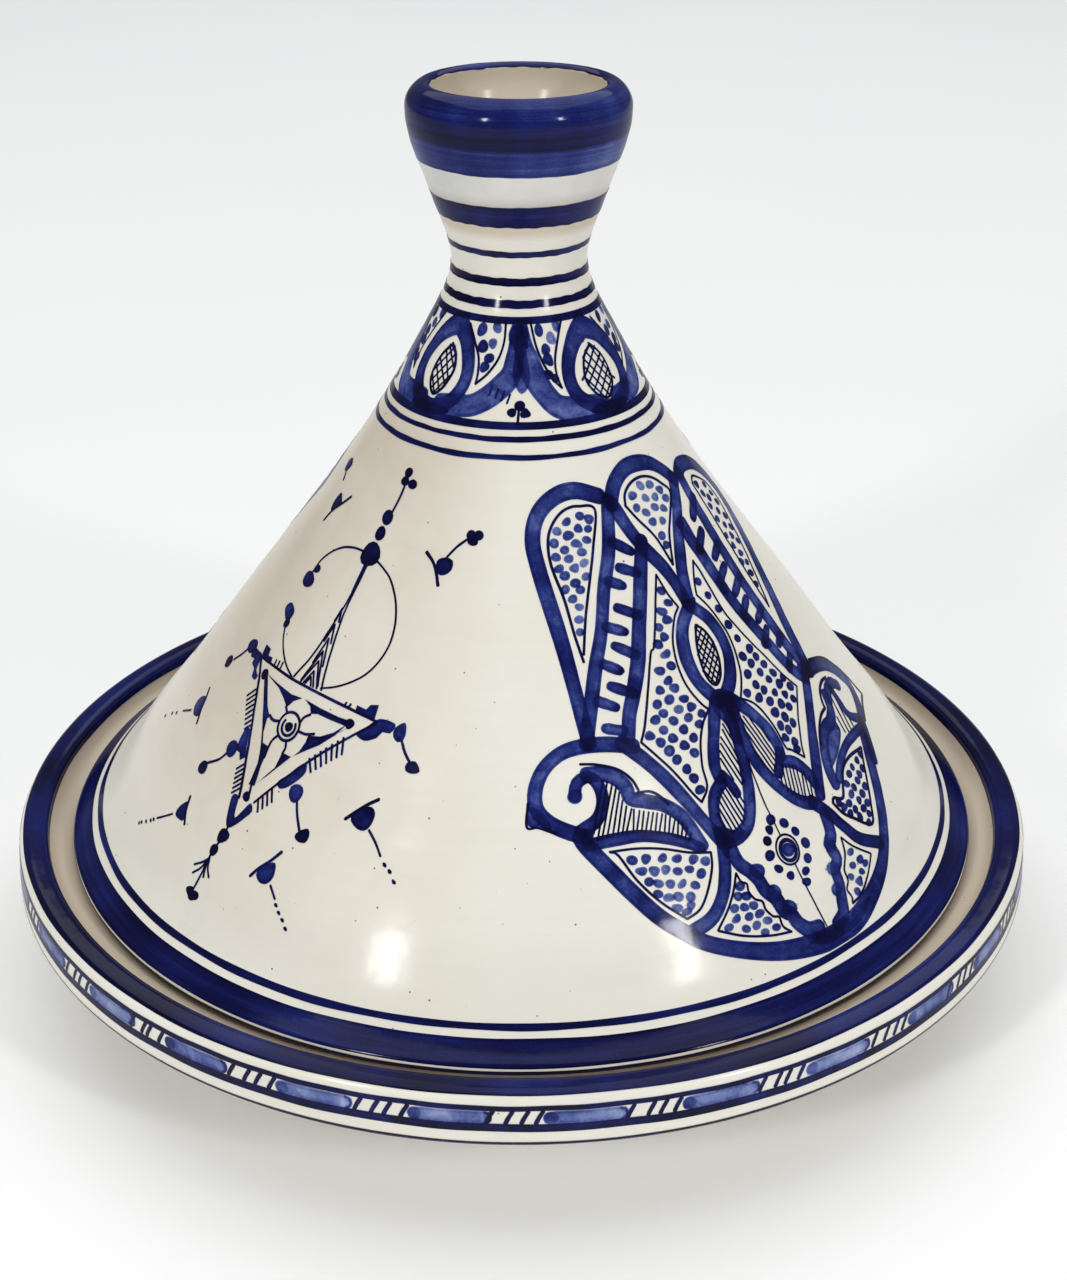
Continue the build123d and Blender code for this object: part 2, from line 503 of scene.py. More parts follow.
# the cone's outside, from the brim up to the waist
cone = (lid.s >= lid.near(132.0, 51.0)) & (lid.s <= lid.near(19.5, 218.3))
# the heights on the cone that the sheet's radii belong to
layout = spline([(129.0, 50.5), (127.8, 52.5), (120.4, 63.2), (106, 82.7), (89.6, 106.3), (59.7, 146.3),
                 (36.1, 182.15), (25.3, 202), (19.5, 218.3)])[::-1]


def on_cone(azimuth):
    """Places a flat sheet on the cone, with its middle line at this azimuth."""
    def place(points):
        x, y = points[:, 0], APEX - points[:, 1]
        radius = np.hypot(x, y) * CONE_RATIO
        angle = math.radians(azimuth) + np.arctan2(x, y) / CONE_RATIO
        height = np.interp(radius, layout[:, 0], layout[:, 1])
        return np.interp(height, lid.z[cone], lid.s[cone]), angle
    return place


# ---------------------------------------------------------------- painted motifs


def hatch(p, outline, lean, gap, width, tone):
    """Parallel fine lines across a closed outline, leaning by so many degrees."""
    ring = walk(outline, 0.8, closed=True)
    along = np.array((math.cos(math.radians(lean)), math.sin(math.radians(lean))))
    across = np.array((-along[1], along[0]))
    depth = ring @ across
    for level in np.arange(depth.min() + 0.6 * gap, depth.max(), gap):
        side = depth - level
        after = np.roll(side, -1)
        cut = np.nonzero(side * after < 0)[0]
        where = []
        for i in cut:
            t = side[i] / (side[i] - after[i])
            where.append((ring[i] * (1 - t) + np.roll(ring, -1, axis=0)[i] * t) @ along)
        where.sort()
        for a, b in zip(where[::2], where[1::2]):
            if b - a > 1.0:
                slip = 0.12 * gap * rng.normal()
                start = along * (a - 0.2) + across * (level + slip)
                end = along * (b + 0.2) + across * (level - slip)
                p.stroke([start, end], width, tone)


def collar(p):
    """Four arches with an eye under each foot, spandrels of dots and a trefoil between."""
    whole = np.radians(np.linspace(-113, 113, 114))
    for rho, width, tone in ((39.4, 1.2, LINE), (61.7, 2.1, 0.84)):
        p.stroke(np.column_stack((rho * np.sin(whole), APEX - rho * np.cos(whole))), width, tone)
    for quarter in (-2, -1, 0, 1, 2):
        p.about_apex(90 * CONE_RATIO * quarter)
        p.stroke([(-0.6, 174.6), (-1.0, 170), (-2.4, 165.4), (-5.5, 162.6), (-9.5, 160.3), (-14, 159.2),
                  (-19, 160.2), (-24, 162.0)], 5.6, 0.50, ends=(0.6, 0.8))
        p.stroke([(0.6, 174.6), (1.5, 170), (3.8, 165.4), (6.8, 161.5), (10.3, 158.7), (14, 158.4),
                  (18.5, 159.6), (23.5, 161.6)], 6.0, 0.48, ends=(0.6, 0.8))
        p.fill([(-2.4, 174.6), (1.8, 174.9), (2.6, 172.6), (1.9, 170.5), (2.8, 166), (2.4, 162.6),
                (0.5, 161), (-1.3, 163), (-1.9, 166), (-1.4, 170.4), (-3.0, 172.4)], 0.50)
        p.stroke([(0.4, 174.5), (1.4, 172.6), (2.0, 171.2)], 1.1, 0.6)
        left = [(-14.3, 177.0), (-12.8, 173.8), (-11.4, 170), (-11.6, 166.5), (-12.3, 164.2)]
        p.stroke(left, 0.65)
        p.stroke([left[-1], (-9, 166), (-6, 168.8), (-4.3, 172), (-3.8, 175.4)], 0.65)
        right = [(3.2, 175.2), (4.6, 171.3), (6.6, 168), (9, 165), (11.7, 163.1)]
        p.stroke(right, 0.65)
        p.stroke([right[-1], (10.1, 166.5), (9.9, 170), (10.9, 174), (12, 177)], 0.65)
        p.dots([(-10.6, 175.2), (-10.2, 172), (-8.4, 169.4), (-9.7, 167.7)], 1.45, 1.2, MID)
        p.dots([(-6.2, 174.9), (-7.4, 172.2), (8.8, 173.3), (10.4, 175.8)], 1.4, 1.1, 0.36)
        p.dots([(5.4, 174.3), (7.2, 171), (7.9, 169), (8.0, 165.8), (9.8, 165.1)], 1.4, 1.15, MID)
        p.stroke([(-0.6, 153.8), (-0.2, 157.6)], 0.75, INK)
        p.dots([(-2.2, 156.6), (0, 158.2), (1.5, 156.4)], 1.4, 1.15, INK, 0.1)
    p.about_apex(0)
    for x in (-8.4, -6.7, -5.1, -3.5):
        p.stroke([(x, 157.3 - 0.45 * x), (x + 0.9, 159.4 - 0.45 * x)], 0.6)
    for azimuth in (-135, -45, 45, 135):
        p.about_apex(azimuth * CONE_RATIO)
        if azimuth in (-45, 135):
            p.stroke([(1.2, 174.2), (5, 171.9), (8.3, 166.8), (8.5, 161.8), (5.6, 157.2), (0, 155.2),
                      (-5.4, 157.2), (-8.2, 161.6), (-8.3, 166.6), (-5, 171.4), (0, 173.9), (2.4, 174)],
                     4.1, 0.66)
            eye = [(0.8, 170.2), (-1.6, 167.8), (-3, 164.5), (-2.8, 161.4), (-1.2, 159), (0.6, 158.5),
                   (2.9, 161), (4.2, 165.2), (3.1, 168.3)]
            lines = ((52, 1.75), (-50, 1.75))
            weight, tone = 0.85, INK
        else:
            p.stroke([(-1, 173.6), (4.6, 171.6), (9, 167), (10.1, 163), (8.6, 158.9), (5, 156.1),
                      (0, 154.7), (-5, 156.4), (-9, 159.5), (-10.1, 163.6), (-8.6, 168), (-4.6, 171.7),
                      (0.6, 173.8)], 4.2, 0.66)
            eye = [(0.3, 169.9), (-3.4, 167.5), (-5.2, 163.2), (-3.9, 159.6), (-0.6, 157.2), (2.2, 158.4),
                   (4, 161), (4.2, 164.5), (3, 167.6)]
            lines = ((38, 1.9), (-55, 1.9))
            weight, tone = 0.7, LINE
            p.stroke([(3.6, 162.4), (5.3, 161.2)])
            p.stroke([(-4.6, 164.2), (-6.4, 163.2)], 0.7, 0.6)
        p.stroke([*eye, eye[0]], weight, tone)
        for lean, gap in lines:
            hatch(p, eye, lean, gap, 0.55, tone)
        p.stroke([(-7, 155.4), (-2, 155.1), (3, 155.0), (7, 155.6)], 2.6, 0.90, ends=(0.4, 0.4))


def on_collar(points, margin=0.0):
    """Which points lie between the two edges where the unrolled collar meets itself."""
    angle = np.arctan2(points[:, 0], APEX - points[:, 1])
    return np.abs(angle) <= HALF_SHEET + margin


def rim_pattern(p):
    """Twenty-eight groups of four slanting strokes, a long touch between, and a line on each side.

    It runs a little past both ends of the strip, where on_strip cuts it.
    """
    groups = 28
    pitch = 360 / groups
    count = 720
    waves = [smooth_noise(count, (2, 5, 9, 17, 31, 53), size) for size in (0.10, 0.16)]
    turn = np.linspace(-184, 184, 2 * count + 33)
    for middle, width, tone, wave in ((44.15, 1.5, 0.88, waves[0]), (38.2, 2.3, 0.86, waves[1])):
        sway = np.interp(turn % 360, np.linspace(0, 360, count, endpoint=False), wave, period=360)
        p.stroke(np.column_stack((np.radians(turn) * RIM_RADIUS, middle + sway)), width, tone)
    shift = rng.normal(0, 0.5, groups)
    slips = rng.normal(0, 0.3, (groups, 4))
    tones = rng.uniform(0.25, 0.35, groups)
    for k in range(-groups // 2, groups // 2 + 1):
        middle = math.radians(pitch * (k - 0.48)) * RIM_RADIUS + shift[k]
        for foot, slip in zip((-7.2, -2.5, 0.8, 4.7), slips[k]):
            x = middle + foot + slip
            p.stroke([(x, 39.7), (x + 0.8, 41.5), (x + 1.8, 43.3)], 1.2)
        a, b = middle + 6.9, middle + 28.6
        tone = tones[k]
        p.fill([(a, 41.2), (a + 0.8, 42.9), (a + 4, 43.3), (a + 10, 43.3), (b - 2, 43.3), (b - 0.3, 42.7),
                (b, 41.2), (b - 0.6, 39.8), (b - 3, 39.3), (a + 8, 39.3), (a + 2, 39.3), (a + 0.4, 39.9)],
               tone)
        p.dot(a + 2.0, 41.2, 1.9, 1.85, 0.30)
        p.stroke([(b - 1.9, 43.0), (b - 0.6, 42.2), (b - 0.5, 40.5), (b - 1.8, 39.5)], 0.75, 0.45)


rim_foot = dish.near(158.8, STRIP_FOOT)


def on_rim(points):
    """Places a flat strip round the dish's edge, with its height up the outline."""
    return rim_foot + points[:, 1] - STRIP_FOOT, points[:, 0] / RIM_RADIUS + RIM_TURN


def on_strip(points, margin=0.0):
    """Which points lie between the strip's two ends."""
    return np.abs(points[:, 0]) <= (math.pi + margin) * RIM_RADIUS


def finger_ladder(p, rungs, tip_tone=0.45):
    """Short strokes between two lines, each ending in a touch of the brush tip."""
    for a, b in rungs:
        far = math.hypot(b[0] - a[0], b[1] - a[1])
        b = [v + (u - v) * 0.3 / far for u, v in zip(a, b)]
        p.stroke([a, b], 3.1, MID, ends=(1.0, 0.85))
        p.dot(b[0], b[1], 1.1, 1.0, tip_tone)


def hand(p):
    """A hand with two curled thumbs, three fingers, an eye, and a flower at the wrist."""
    p.touch = 1.06
    # first finger
    p.stroke([(-24.5, 70), (-24.3, 78), (-24, 85), (-23.5, 100), (-23.6, 120), (-22.8, 128),
              (-19.5, 133.6), (-14, 136.6), (-8, 136.9), (-1, 134)], 4.3, MID)
    p.stroke([(1, 133), (-3, 120), (-7.7, 110), (-12, 99), (-16.5, 90), (-21, 80), (-25.5, 70)], 4.0, MID)
    p.stroke([(-19.3, 92), (-19.5, 100), (-19.3, 110), (-20, 120), (-19, 126), (-17, 129.5), (-14, 132),
              (-11, 133), (-8, 132.8), (-3.6, 131), (-7, 122), (-11, 113), (-15, 104), (-18.7, 94)],
             0.8)
    p.dots([(-12.5, 129.7), (-8.4, 130.3), (-6.1, 129), (-15.8, 128), (-13.1, 126.2), (-9.8, 127.3),
            (-7.1, 126.6), (-17.5, 125.2), (-15.2, 122.8), (-11.5, 123.6), (-8.4, 123.9), (-18.1, 121.6),
            (-14.8, 120.3), (-10.7, 121.1), (-18.2, 118.4), (-17.2, 116.2), (-14, 117.5), (-11, 118.2),
            (-11.6, 114.6), (-15, 113.6), (-18.3, 112.6), (-14.2, 111.5), (-17, 109.6), (-15.9, 107),
            (-17, 103.7), (-17.8, 100.3)], 1.4, 1.15, WASH)
    # the ladder beside it
    p.stroke([(8, 121), (4.5, 112), (1.5, 104), (-1.5, 96), (-4.5, 88), (-8.5, 80), (-11.3, 75),
              (-13.8, 68.5)], 4.3, MID)
    finger_ladder(p, [((-1.5, 122), (4, 118)), ((-6, 112), (-1.5, 109.5)), ((-10.5, 100), (-5, 97)),
                      ((-14.5, 90.3), (-9.8, 86.8)), ((-19, 80.8), (-14, 77.5))])
    finger_ladder(p, [((3.6, 112.2), (-2, 115)), ((0.2, 100.7), (-6, 104.5)), ((-4, 90), (-10, 94.5)),
                      ((-8, 79.8), (-14.5, 84)), ((-14, 71), (-19.5, 73.3))], 0.2)
    # middle finger
    p.stroke([(1.5, 131), (2.5, 133.4), (5, 137), (9.5, 140), (15, 140.9), (20, 140.4), (25, 138),
              (28, 135.5)], 4.3, MID)
    p.stroke([(1.8, 132), (5, 124), (8, 118.5), (12, 113), (14.5, 108), (17, 100.5)], 4.2, MID)
    p.stroke([(27.5, 137), (25.5, 130), (22.5, 123), (20.5, 117), (18.5, 110), (17.3, 101.5)], 4.2, MID)
    p.stroke([(6, 130.3), (7, 133.5), (10, 136), (14, 137.2), (18, 136.8), (21.5, 135), (24, 132.3),
              (20.5, 125.5), (18, 120.5), (16, 112.5)], 0.8)
    p.stroke([(6, 130.3), (9, 126), (12.5, 121.5), (14.5, 117), (16, 112.5)], 0.8)
    p.dots([(9.3, 132.6), (13, 134.9), (16.6, 134.9), (19.9, 133.3), (13.6, 131.5), (17.2, 131.5),
            (21.3, 130.9), (9.5, 129.3), (16, 128.8), (12.3, 127.7), (19.2, 128.2), (13.6, 125),
            (17.3, 124.9), (15.3, 120.9), (15.9, 118.2)], 1.4, 1.15, WASH)
    # third finger
    p.stroke([(31, 137.5), (33, 139.8), (36, 141), (41, 141.8), (46, 141.3), (51, 139.3), (55, 135.5),
              (57, 129), (57.2, 120), (57.3, 105), (58, 90), (59.5, 80), (60.5, 75)], 4.7, MID)
    p.stroke([(31, 138.5), (34, 129), (37.5, 119), (42, 107), (46, 98), (50.5, 89), (54.5, 82),
              (59.5, 76)], 4.5, MID)
    p.stroke([(37, 135), (38.5, 137.3), (42, 137.5), (47, 136.5), (50, 133.5), (51.7, 129), (52.3, 120),
              (52.5, 110), (52.2, 96)], 0.8)
    p.stroke([(37, 135), (40, 128), (43.5, 119), (47, 109), (50, 101.5), (52.2, 96)], 0.8)
    p.dots([(39.4, 135), (41.1, 132.3), (45, 135.4), (47.3, 133), (44.1, 131.2), (48.7, 130.3),
            (42.4, 128.5), (46.4, 127.2), (50, 125.8), (43.4, 124.5), (46.6, 122.7), (50.5, 122.2),
            (44.6, 119.3), (48.2, 119.3), (50.7, 117.6), (46.3, 116), (48.9, 113.6), (47, 110.8),
            (50.3, 110.6), (49.9, 107.1), (50.3, 103.5)], 1.35, 1.1, MID)
    # the ladder beside it, down to the right thumb
    p.stroke([(24.5, 124), (26, 119), (28.5, 114), (30, 110), (33, 103), (36, 97), (40, 91), (44, 85.5),
              (48, 80), (52, 76), (57, 73.2)], 4.5, MID)
    finger_ladder(p, [((34.5, 131.5), (30, 124.3)), ((38, 117), (33.3, 112.3)),
                      ((42.5, 106.5), (36.5, 100.8)), ((47.5, 96), (42.8, 92)),
                      ((52.5, 87.3), (48.7, 84))])
    finger_ladder(p, [((28, 115.5), (32.5, 121.5)), ((31.5, 105), (37.5, 110.5)), ((37, 94.5), (42, 99.8)),
                      ((42, 84.8), (46.5, 90)), ((49.6, 76.6), (53, 81))], 0.2)
    p.dots([(23.5, 123.3), (28.5, 115.5), (33, 103.3), (38, 93.3), (43.5, 85), (50.3, 77.7), (56.3, 76)],
           1.9, 1.6, 0.55)
    palm_panels(p)
    palm_eye(p)
    wrist(p)
    left_thumb(p)
    right_thumb(p)


def palm_panels(p):
    """The two dotted panels on either side of the eye."""
    p.stroke([(9.3, 110.7), (11, 105), (13.2, 100.5), (13.2, 100.5), (11, 98), (8.5, 93), (7.3, 88),
              (7.3, 82), (8.5, 77), (11, 72.5), (12.7, 70.8), (12.7, 70.8), (9.5, 67.5), (7, 63), (5.3, 57),
              (4.9, 51.5), (1.9, 48.2)])
    p.stroke([(1.9, 48.2), (0, 51), (-4, 58), (-10.4, 67), (-10.4, 67), (-8, 71), (-4, 80), (0, 89.5),
              (1.5, 91), (4, 97), (7, 105), (9.3, 110.7)])
    p.dots([(9.3, 106), (10.3, 102.3), (7.4, 100.3), (8.3, 97.7), (5, 96.2), (5.7, 93.2), (3.1, 91.6),
            (4.5, 88.4), (1.2, 84.3), (5.1, 84.9), (2.8, 81.1), (4, 78.7), (-0.5, 79.1), (-2.6, 75.6),
            (1.4, 76), (5.9, 75.2), (-1.6, 72.8), (3.3, 72.8), (7.4, 72.6), (-4.5, 71.7), (0.7, 70.2),
            (5.5, 70), (10, 70.1), (-3, 68.5), (3, 67.3), (8.2, 67.6), (-7.4, 68), (-4.9, 65.6),
            (-1, 65.8), (5.2, 64.5), (-3.1, 62.9), (1.8, 63.2), (-1.7, 60.2), (4.1, 60.7), (0.4, 57.2),
            (1.7, 54.5), (2.5, 51.3)], 1.5, 1.25, 0.5)
    p.stroke([(24, 112.7), (22, 107.5), (21, 102.8), (21, 102.8), (24, 99), (26.5, 94), (28.2, 89),
              (28.5, 83), (27.5, 77), (24.8, 71.5), (24.8, 71.5), (29, 69.5), (32, 66), (34.5, 61), (36, 56),
              (38, 55), (42.3, 52.3)])
    p.stroke([(42.3, 52.3), (43, 56), (46, 64), (50.3, 71.5), (50.3, 71.5), (45, 76), (40, 82), (35, 88),
              (30, 95.5), (28, 101), (25.5, 109), (24, 112.7)])
    p.dots([(23.2, 106.5), (25.3, 102.1), (27.6, 97.7), (29.4, 92.6), (31.2, 88.2), (34.8, 84.6),
            (30.9, 82.8), (36.3, 82), (33.3, 80.4), (38.6, 79.4), (30.5, 77.6), (35.8, 77.4),
            (41.3, 76.5), (38.4, 74.9), (45, 74.6), (32.3, 74.2), (42.4, 73.1), (27.9, 72.5),
            (34.9, 72.3), (47, 71.8), (31.9, 70.5), (39.1, 71), (43.3, 69.9), (35.8, 68.9),
            (46.4, 68.3), (40.2, 67.6), (43.2, 66.4), (36.4, 65.7), (39.8, 63.9), (36.8, 61.9),
            (42.4, 61.9), (39.5, 60.4), (37.1, 58.5), (40.4, 56.9), (40.3, 54.9)], 1.5, 1.3, 0.62)


def palm_eye(p):
    """The eye in the palm and the two hatched leaves under it."""
    p.stroke([(17.3, 100.5), (13, 95.5), (11, 90), (10.8, 84), (12.5, 78), (17, 72)], 4.3, MID)
    p.stroke([(17.3, 100.5), (22.5, 95.5), (25.2, 89), (25.3, 83), (23, 77), (18.6, 72)], 4.3, MID)
    p.fill([(14.6, 102.6), (17.3, 101.6), (20, 102.4), (19.3, 99.6), (17.2, 97.8), (15, 99.6)], 0.6)
    eye = [(17.2, 94.5), (19.5, 92.5), (21.3, 88.5), (21.6, 84), (20.5, 79.5), (18, 76.8), (16, 78),
           (15, 82), (15.2, 88), (16.3, 92)]
    p.stroke([*eye, eye[0]], 0.85)
    hatch(p, eye, 52, 1.5, 0.6, LINE)
    hatch(p, eye, -58, 1.6, 0.6, LINE)
    p.stroke([(15.6, 72.6), (12.3, 65), (10.2, 60), (9.1, 55.8), (9.6, 52.3)], 4.0, MID)
    p.stroke([(10.2, 52), (6.5, 49), (4.7, 45), (4.4, 39)], 3.8, MID)
    p.stroke([(18.6, 73), (19, 66), (19, 60), (18.5, 52), (17, 45.5), (14.3, 40), (10, 37.4), (5.5, 37)],
             4.0, MID)
    p.stroke([(10.6, 53.5), (12.4, 50.5), (13.6, 47.6)], 3.0, 0.70)
    hatch(p, [(17.4, 67.5), (13.2, 61), (11.6, 56), (13.8, 51.5), (17, 50), (17.6, 58)], 110, 1.35, 0.6, LINE)
    hatch(p, [(14.8, 47.5), (9, 50), (6, 46), (5.6, 41), (9, 38.6), (13, 40.5)], 108, 1.3, 0.6, LINE)
    p.stroke([(20.4, 73), (21.3, 62), (23, 55), (26.5, 49), (31, 44), (35.5, 41), (39.5, 40)], 4.0, MID)
    p.stroke([(21.5, 72), (27, 67), (31, 62), (33, 57), (33, 54)], 4.0, MID)
    p.stroke([(32.5, 52.8), (37.5, 51.5), (41, 48.5), (43, 44.5)], 3.8, MID)
    p.stroke([(33, 55.5), (31.6, 52.6), (29.8, 49.8)], 3.4, 0.72)
    hatch(p, [(22.6, 66.5), (26.5, 64.8), (30, 60), (30.8, 54.5), (27.3, 50), (24.4, 55), (22.8, 61)],
          -64, 1.3, 0.6, LINE)
    hatch(p, [(32, 51.5), (30, 46.5), (35, 42), (40.5, 42), (41, 47), (37, 50.5)], 80, 1.35, 0.6, LINE)
    p.fill([(14.5, 74.4), (17.8, 75.6), (21.5, 74.2), (24.5, 70.5), (22, 66.5), (20.2, 60), (18.4, 60),
            (16.5, 66), (14, 70)], 0.55)


def wrist(p):
    """The flower in its scalloped panel, and the palm's outline."""
    p.stroke([(20.5, 56), (21.5, 44), (22.3, 40), (23.2, 34.5)], 0.5)
    p.stroke([(24.8, 26.3), (26, 20), (29.2, 7.5)], 0.5)
    p.stroke(loop(24, 30.3, 3.9, 4.1), 0.65)
    p.stroke(loop(24.1, 30.1, 2.7, 2.8), 1.2, 0.8)
    p.dot(24.1, 30.2, 2.0, 2.1, MID)
    p.dots([(21.8, 39), (20.2, 36.6), (25.9, 37.2), (18.3, 34), (28.8, 34.3), (17.5, 30.2), (30.9, 30.6),
            (18.9, 26.2), (29.8, 26.5), (22.1, 23.5), (27.7, 23.4), (26.8, 20.5)], 1.5, 1.3, DEEP)
    p.stroke([(6, 36.5), (7, 31), (9.5, 28), (11.5, 25), (12.5, 22), (15, 19), (16.5, 15), (18.5, 13.5),
              (20, 10.5), (23, 8), (27, 7.6)], 4.3, MID)
    p.dots([(11.9, 27.3), (14.8, 20.3), (18.3, 15.2)], 2.3, 2.1, 0.45)
    p.stroke([(42, 37), (41.5, 31), (39.5, 28), (40.5, 24), (38.5, 21), (38.5, 17), (37.5, 12),
              (36.5, 9), (33, 6.8)], 4.3, MID)
    p.dots([(39.6, 28), (37.9, 21.5), (37, 15.8)], 2.3, 2.0, 0.45)
    p.stroke([(-34, 49), (-33, 46), (-28.5, 38), (-24.5, 31), (-20, 24), (-15, 18.5), (-9, 13.2), (0, 8.8),
              (10, 5.8), (20, 4.6), (30, 4.9), (40, 7), (48, 10.5), (56, 15.5), (62, 21.5), (66.5, 29),
              (70, 37), (73.5, 46), (77.5, 55)], 4.7, 0.62)
    p.stroke([(22, 5), (30, 5.2), (40, 7.2), (49, 11)], 2.6, 0.5, ends=(0.3, 0.3))
    p.stroke([(-16, 68.5), (-11, 62.5), (-7, 57), (-3, 50.5), (0.5, 44), (4.4, 37)], 4.0, MID)
    p.stroke([(58.5, 77), (55, 70), (51, 61.5), (47, 52), (43, 41.5)], 4.2, MID)
    p.stroke([(-13.5, 17), (-6, 19), (-1, 23.5), (2, 29), (3.5, 34), (4.6, 39)], 3.9, MID)
    p.stroke([(38.6, 40.6), (43.5, 36.5), (48, 31.5), (53, 27), (62, 24)], 4.1, 0.68)
    p.fill([(2.6, 40.5), (5.6, 41), (9.5, 38.8), (12, 38.6), (11, 36.6), (6.6, 35.6), (4.4, 32.6),
            (2.9, 35.5)], 0.55)
    p.stroke([(-27.5, 43), (-20, 41.8), (-13, 39.8), (-6, 37), (0, 35.5), (0, 35.5), (-1, 32), (-4, 27),
              (-8, 22.5), (-12.5, 21), (-12.5, 21), (-18, 27), (-22.5, 34), (-25.5, 41.5), (-27.5, 43)])
    p.dots([(-22.3, 39.4), (-18.5, 38.7), (-14, 37.7), (-10.1, 36.5), (-5.6, 35.1), (-20.7, 36.1),
            (-17.3, 35.2), (-14.1, 34.7), (-2.4, 33.8), (-19.6, 33), (-11, 33.4), (-7.6, 33),
            (-17.3, 31.9), (-14.1, 30.9), (-10.9, 30), (-4.7, 31.1), (-18.2, 29.4), (-7.4, 28.7),
            (-15.6, 27.7), (-13, 27.2), (-9.7, 26.2), (-14.2, 24.5), (-12, 22.8), (-10.4, 24)],
           1.45, 1.15, WASH)
    p.stroke([(5.3, 28.5), (6, 26), (7.5, 25), (7.3, 23), (8.5, 20.5), (10.5, 19.3), (10.8, 17),
              (12.5, 14.5), (14.3, 13.8), (14.8, 11), (17, 9)])
    p.stroke([(17, 9), (10, 9.8), (2, 12), (-5, 15.5), (-5, 15.5), (0, 20.5), (3, 24.5), (5.3, 28.5)])
    p.dots([(5.3, 25), (3.7, 22.6), (6.2, 22), (1.6, 19.8), (4.6, 19.3), (7.5, 19), (1.3, 17),
            (5.2, 16.5), (8.6, 16.4), (-1.6, 15.4), (3.3, 13.6), (6.7, 13.6), (10.4, 13.9),
            (8.7, 11), (12.6, 11.4)], 1.45, 1.15, WASH)
    p.stroke([(45, 29), (44.5, 25), (43, 22), (42, 20), (42.2, 17), (40.8, 14.8), (41.8, 12.5),
              (41.3, 10.8)])
    p.stroke([(41.3, 10.8), (46, 12.5), (51, 16.5), (55.5, 22), (55.5, 22), (49, 25.5), (45, 29)])
    p.dots([(46.8, 24.4), (46, 20.6), (49.9, 21.5), (43.9, 17.7), (49, 18.1), (46.8, 15.8), (51.6, 20),
            (44.7, 13.3)], 1.4, 1.1, WASH)


def left_thumb(p):
    """A curled thumb with a hatched leaf under it."""
    p.stroke([(-12.5, 66.5), (-20, 69), (-27, 70.3), (-33, 70), (-38.5, 67.3), (-42, 63), (-43, 58.5),
              (-41, 54.5), (-37, 51), (-32, 48)], 4.1, MID)
    p.stroke([(-44.8, 60.5), (-46.8, 55), (-44, 54), (-40, 51.3)])
    p.fill([(-44.6, 59.5), (-46.4, 55.2), (-43.6, 54.2), (-40.6, 52.4), (-41.5, 57)], 0.5)
    p.stroke([(-32.5, 58.3), (-30.8, 61.6), (-27.2, 62.3), (-25.2, 59), (-25.6, 55), (-28.4, 51.5),
              (-33.5, 49.8)], 3.5, MID)
    p.dot(-32.3, 58.6, 2.1, 1.9, 0.3)
    p.stroke([(-28, 63), (-24, 62.2), (-20.4, 60.2), (-18.2, 57), (-17.8, 54.2), (-14, 52.4), (-9, 50),
              (-5, 46), (-3, 41), (-1.8, 37.5)], 4.0, 0.54)
    p.stroke([(-33, 46.2), (-25, 45.5), (-18, 44.5), (-11, 42), (-6, 39.5), (-2.2, 37.2)], 3.2, MID)
    hatch(p, [(-30.2, 47.6), (-24.8, 46.8), (-18, 46), (-10, 43), (-4.2, 39.8), (-5.6, 44.6), (-9.6, 47.6),
              (-15.4, 50), (-19.6, 52.4), (-20.8, 57.6), (-24.4, 60.4), (-26.2, 56.6)], 62, 1.25, 0.55, LINE)
    p.stroke([(-28.5, 66), (-24, 64.6), (-19, 62), (-16, 58.5), (-15, 55.5)], 0.75)
    p.stroke([(-15.5, 55), (-12, 54.4), (-9.5, 52.5), (-7.8, 50)], 0.75)


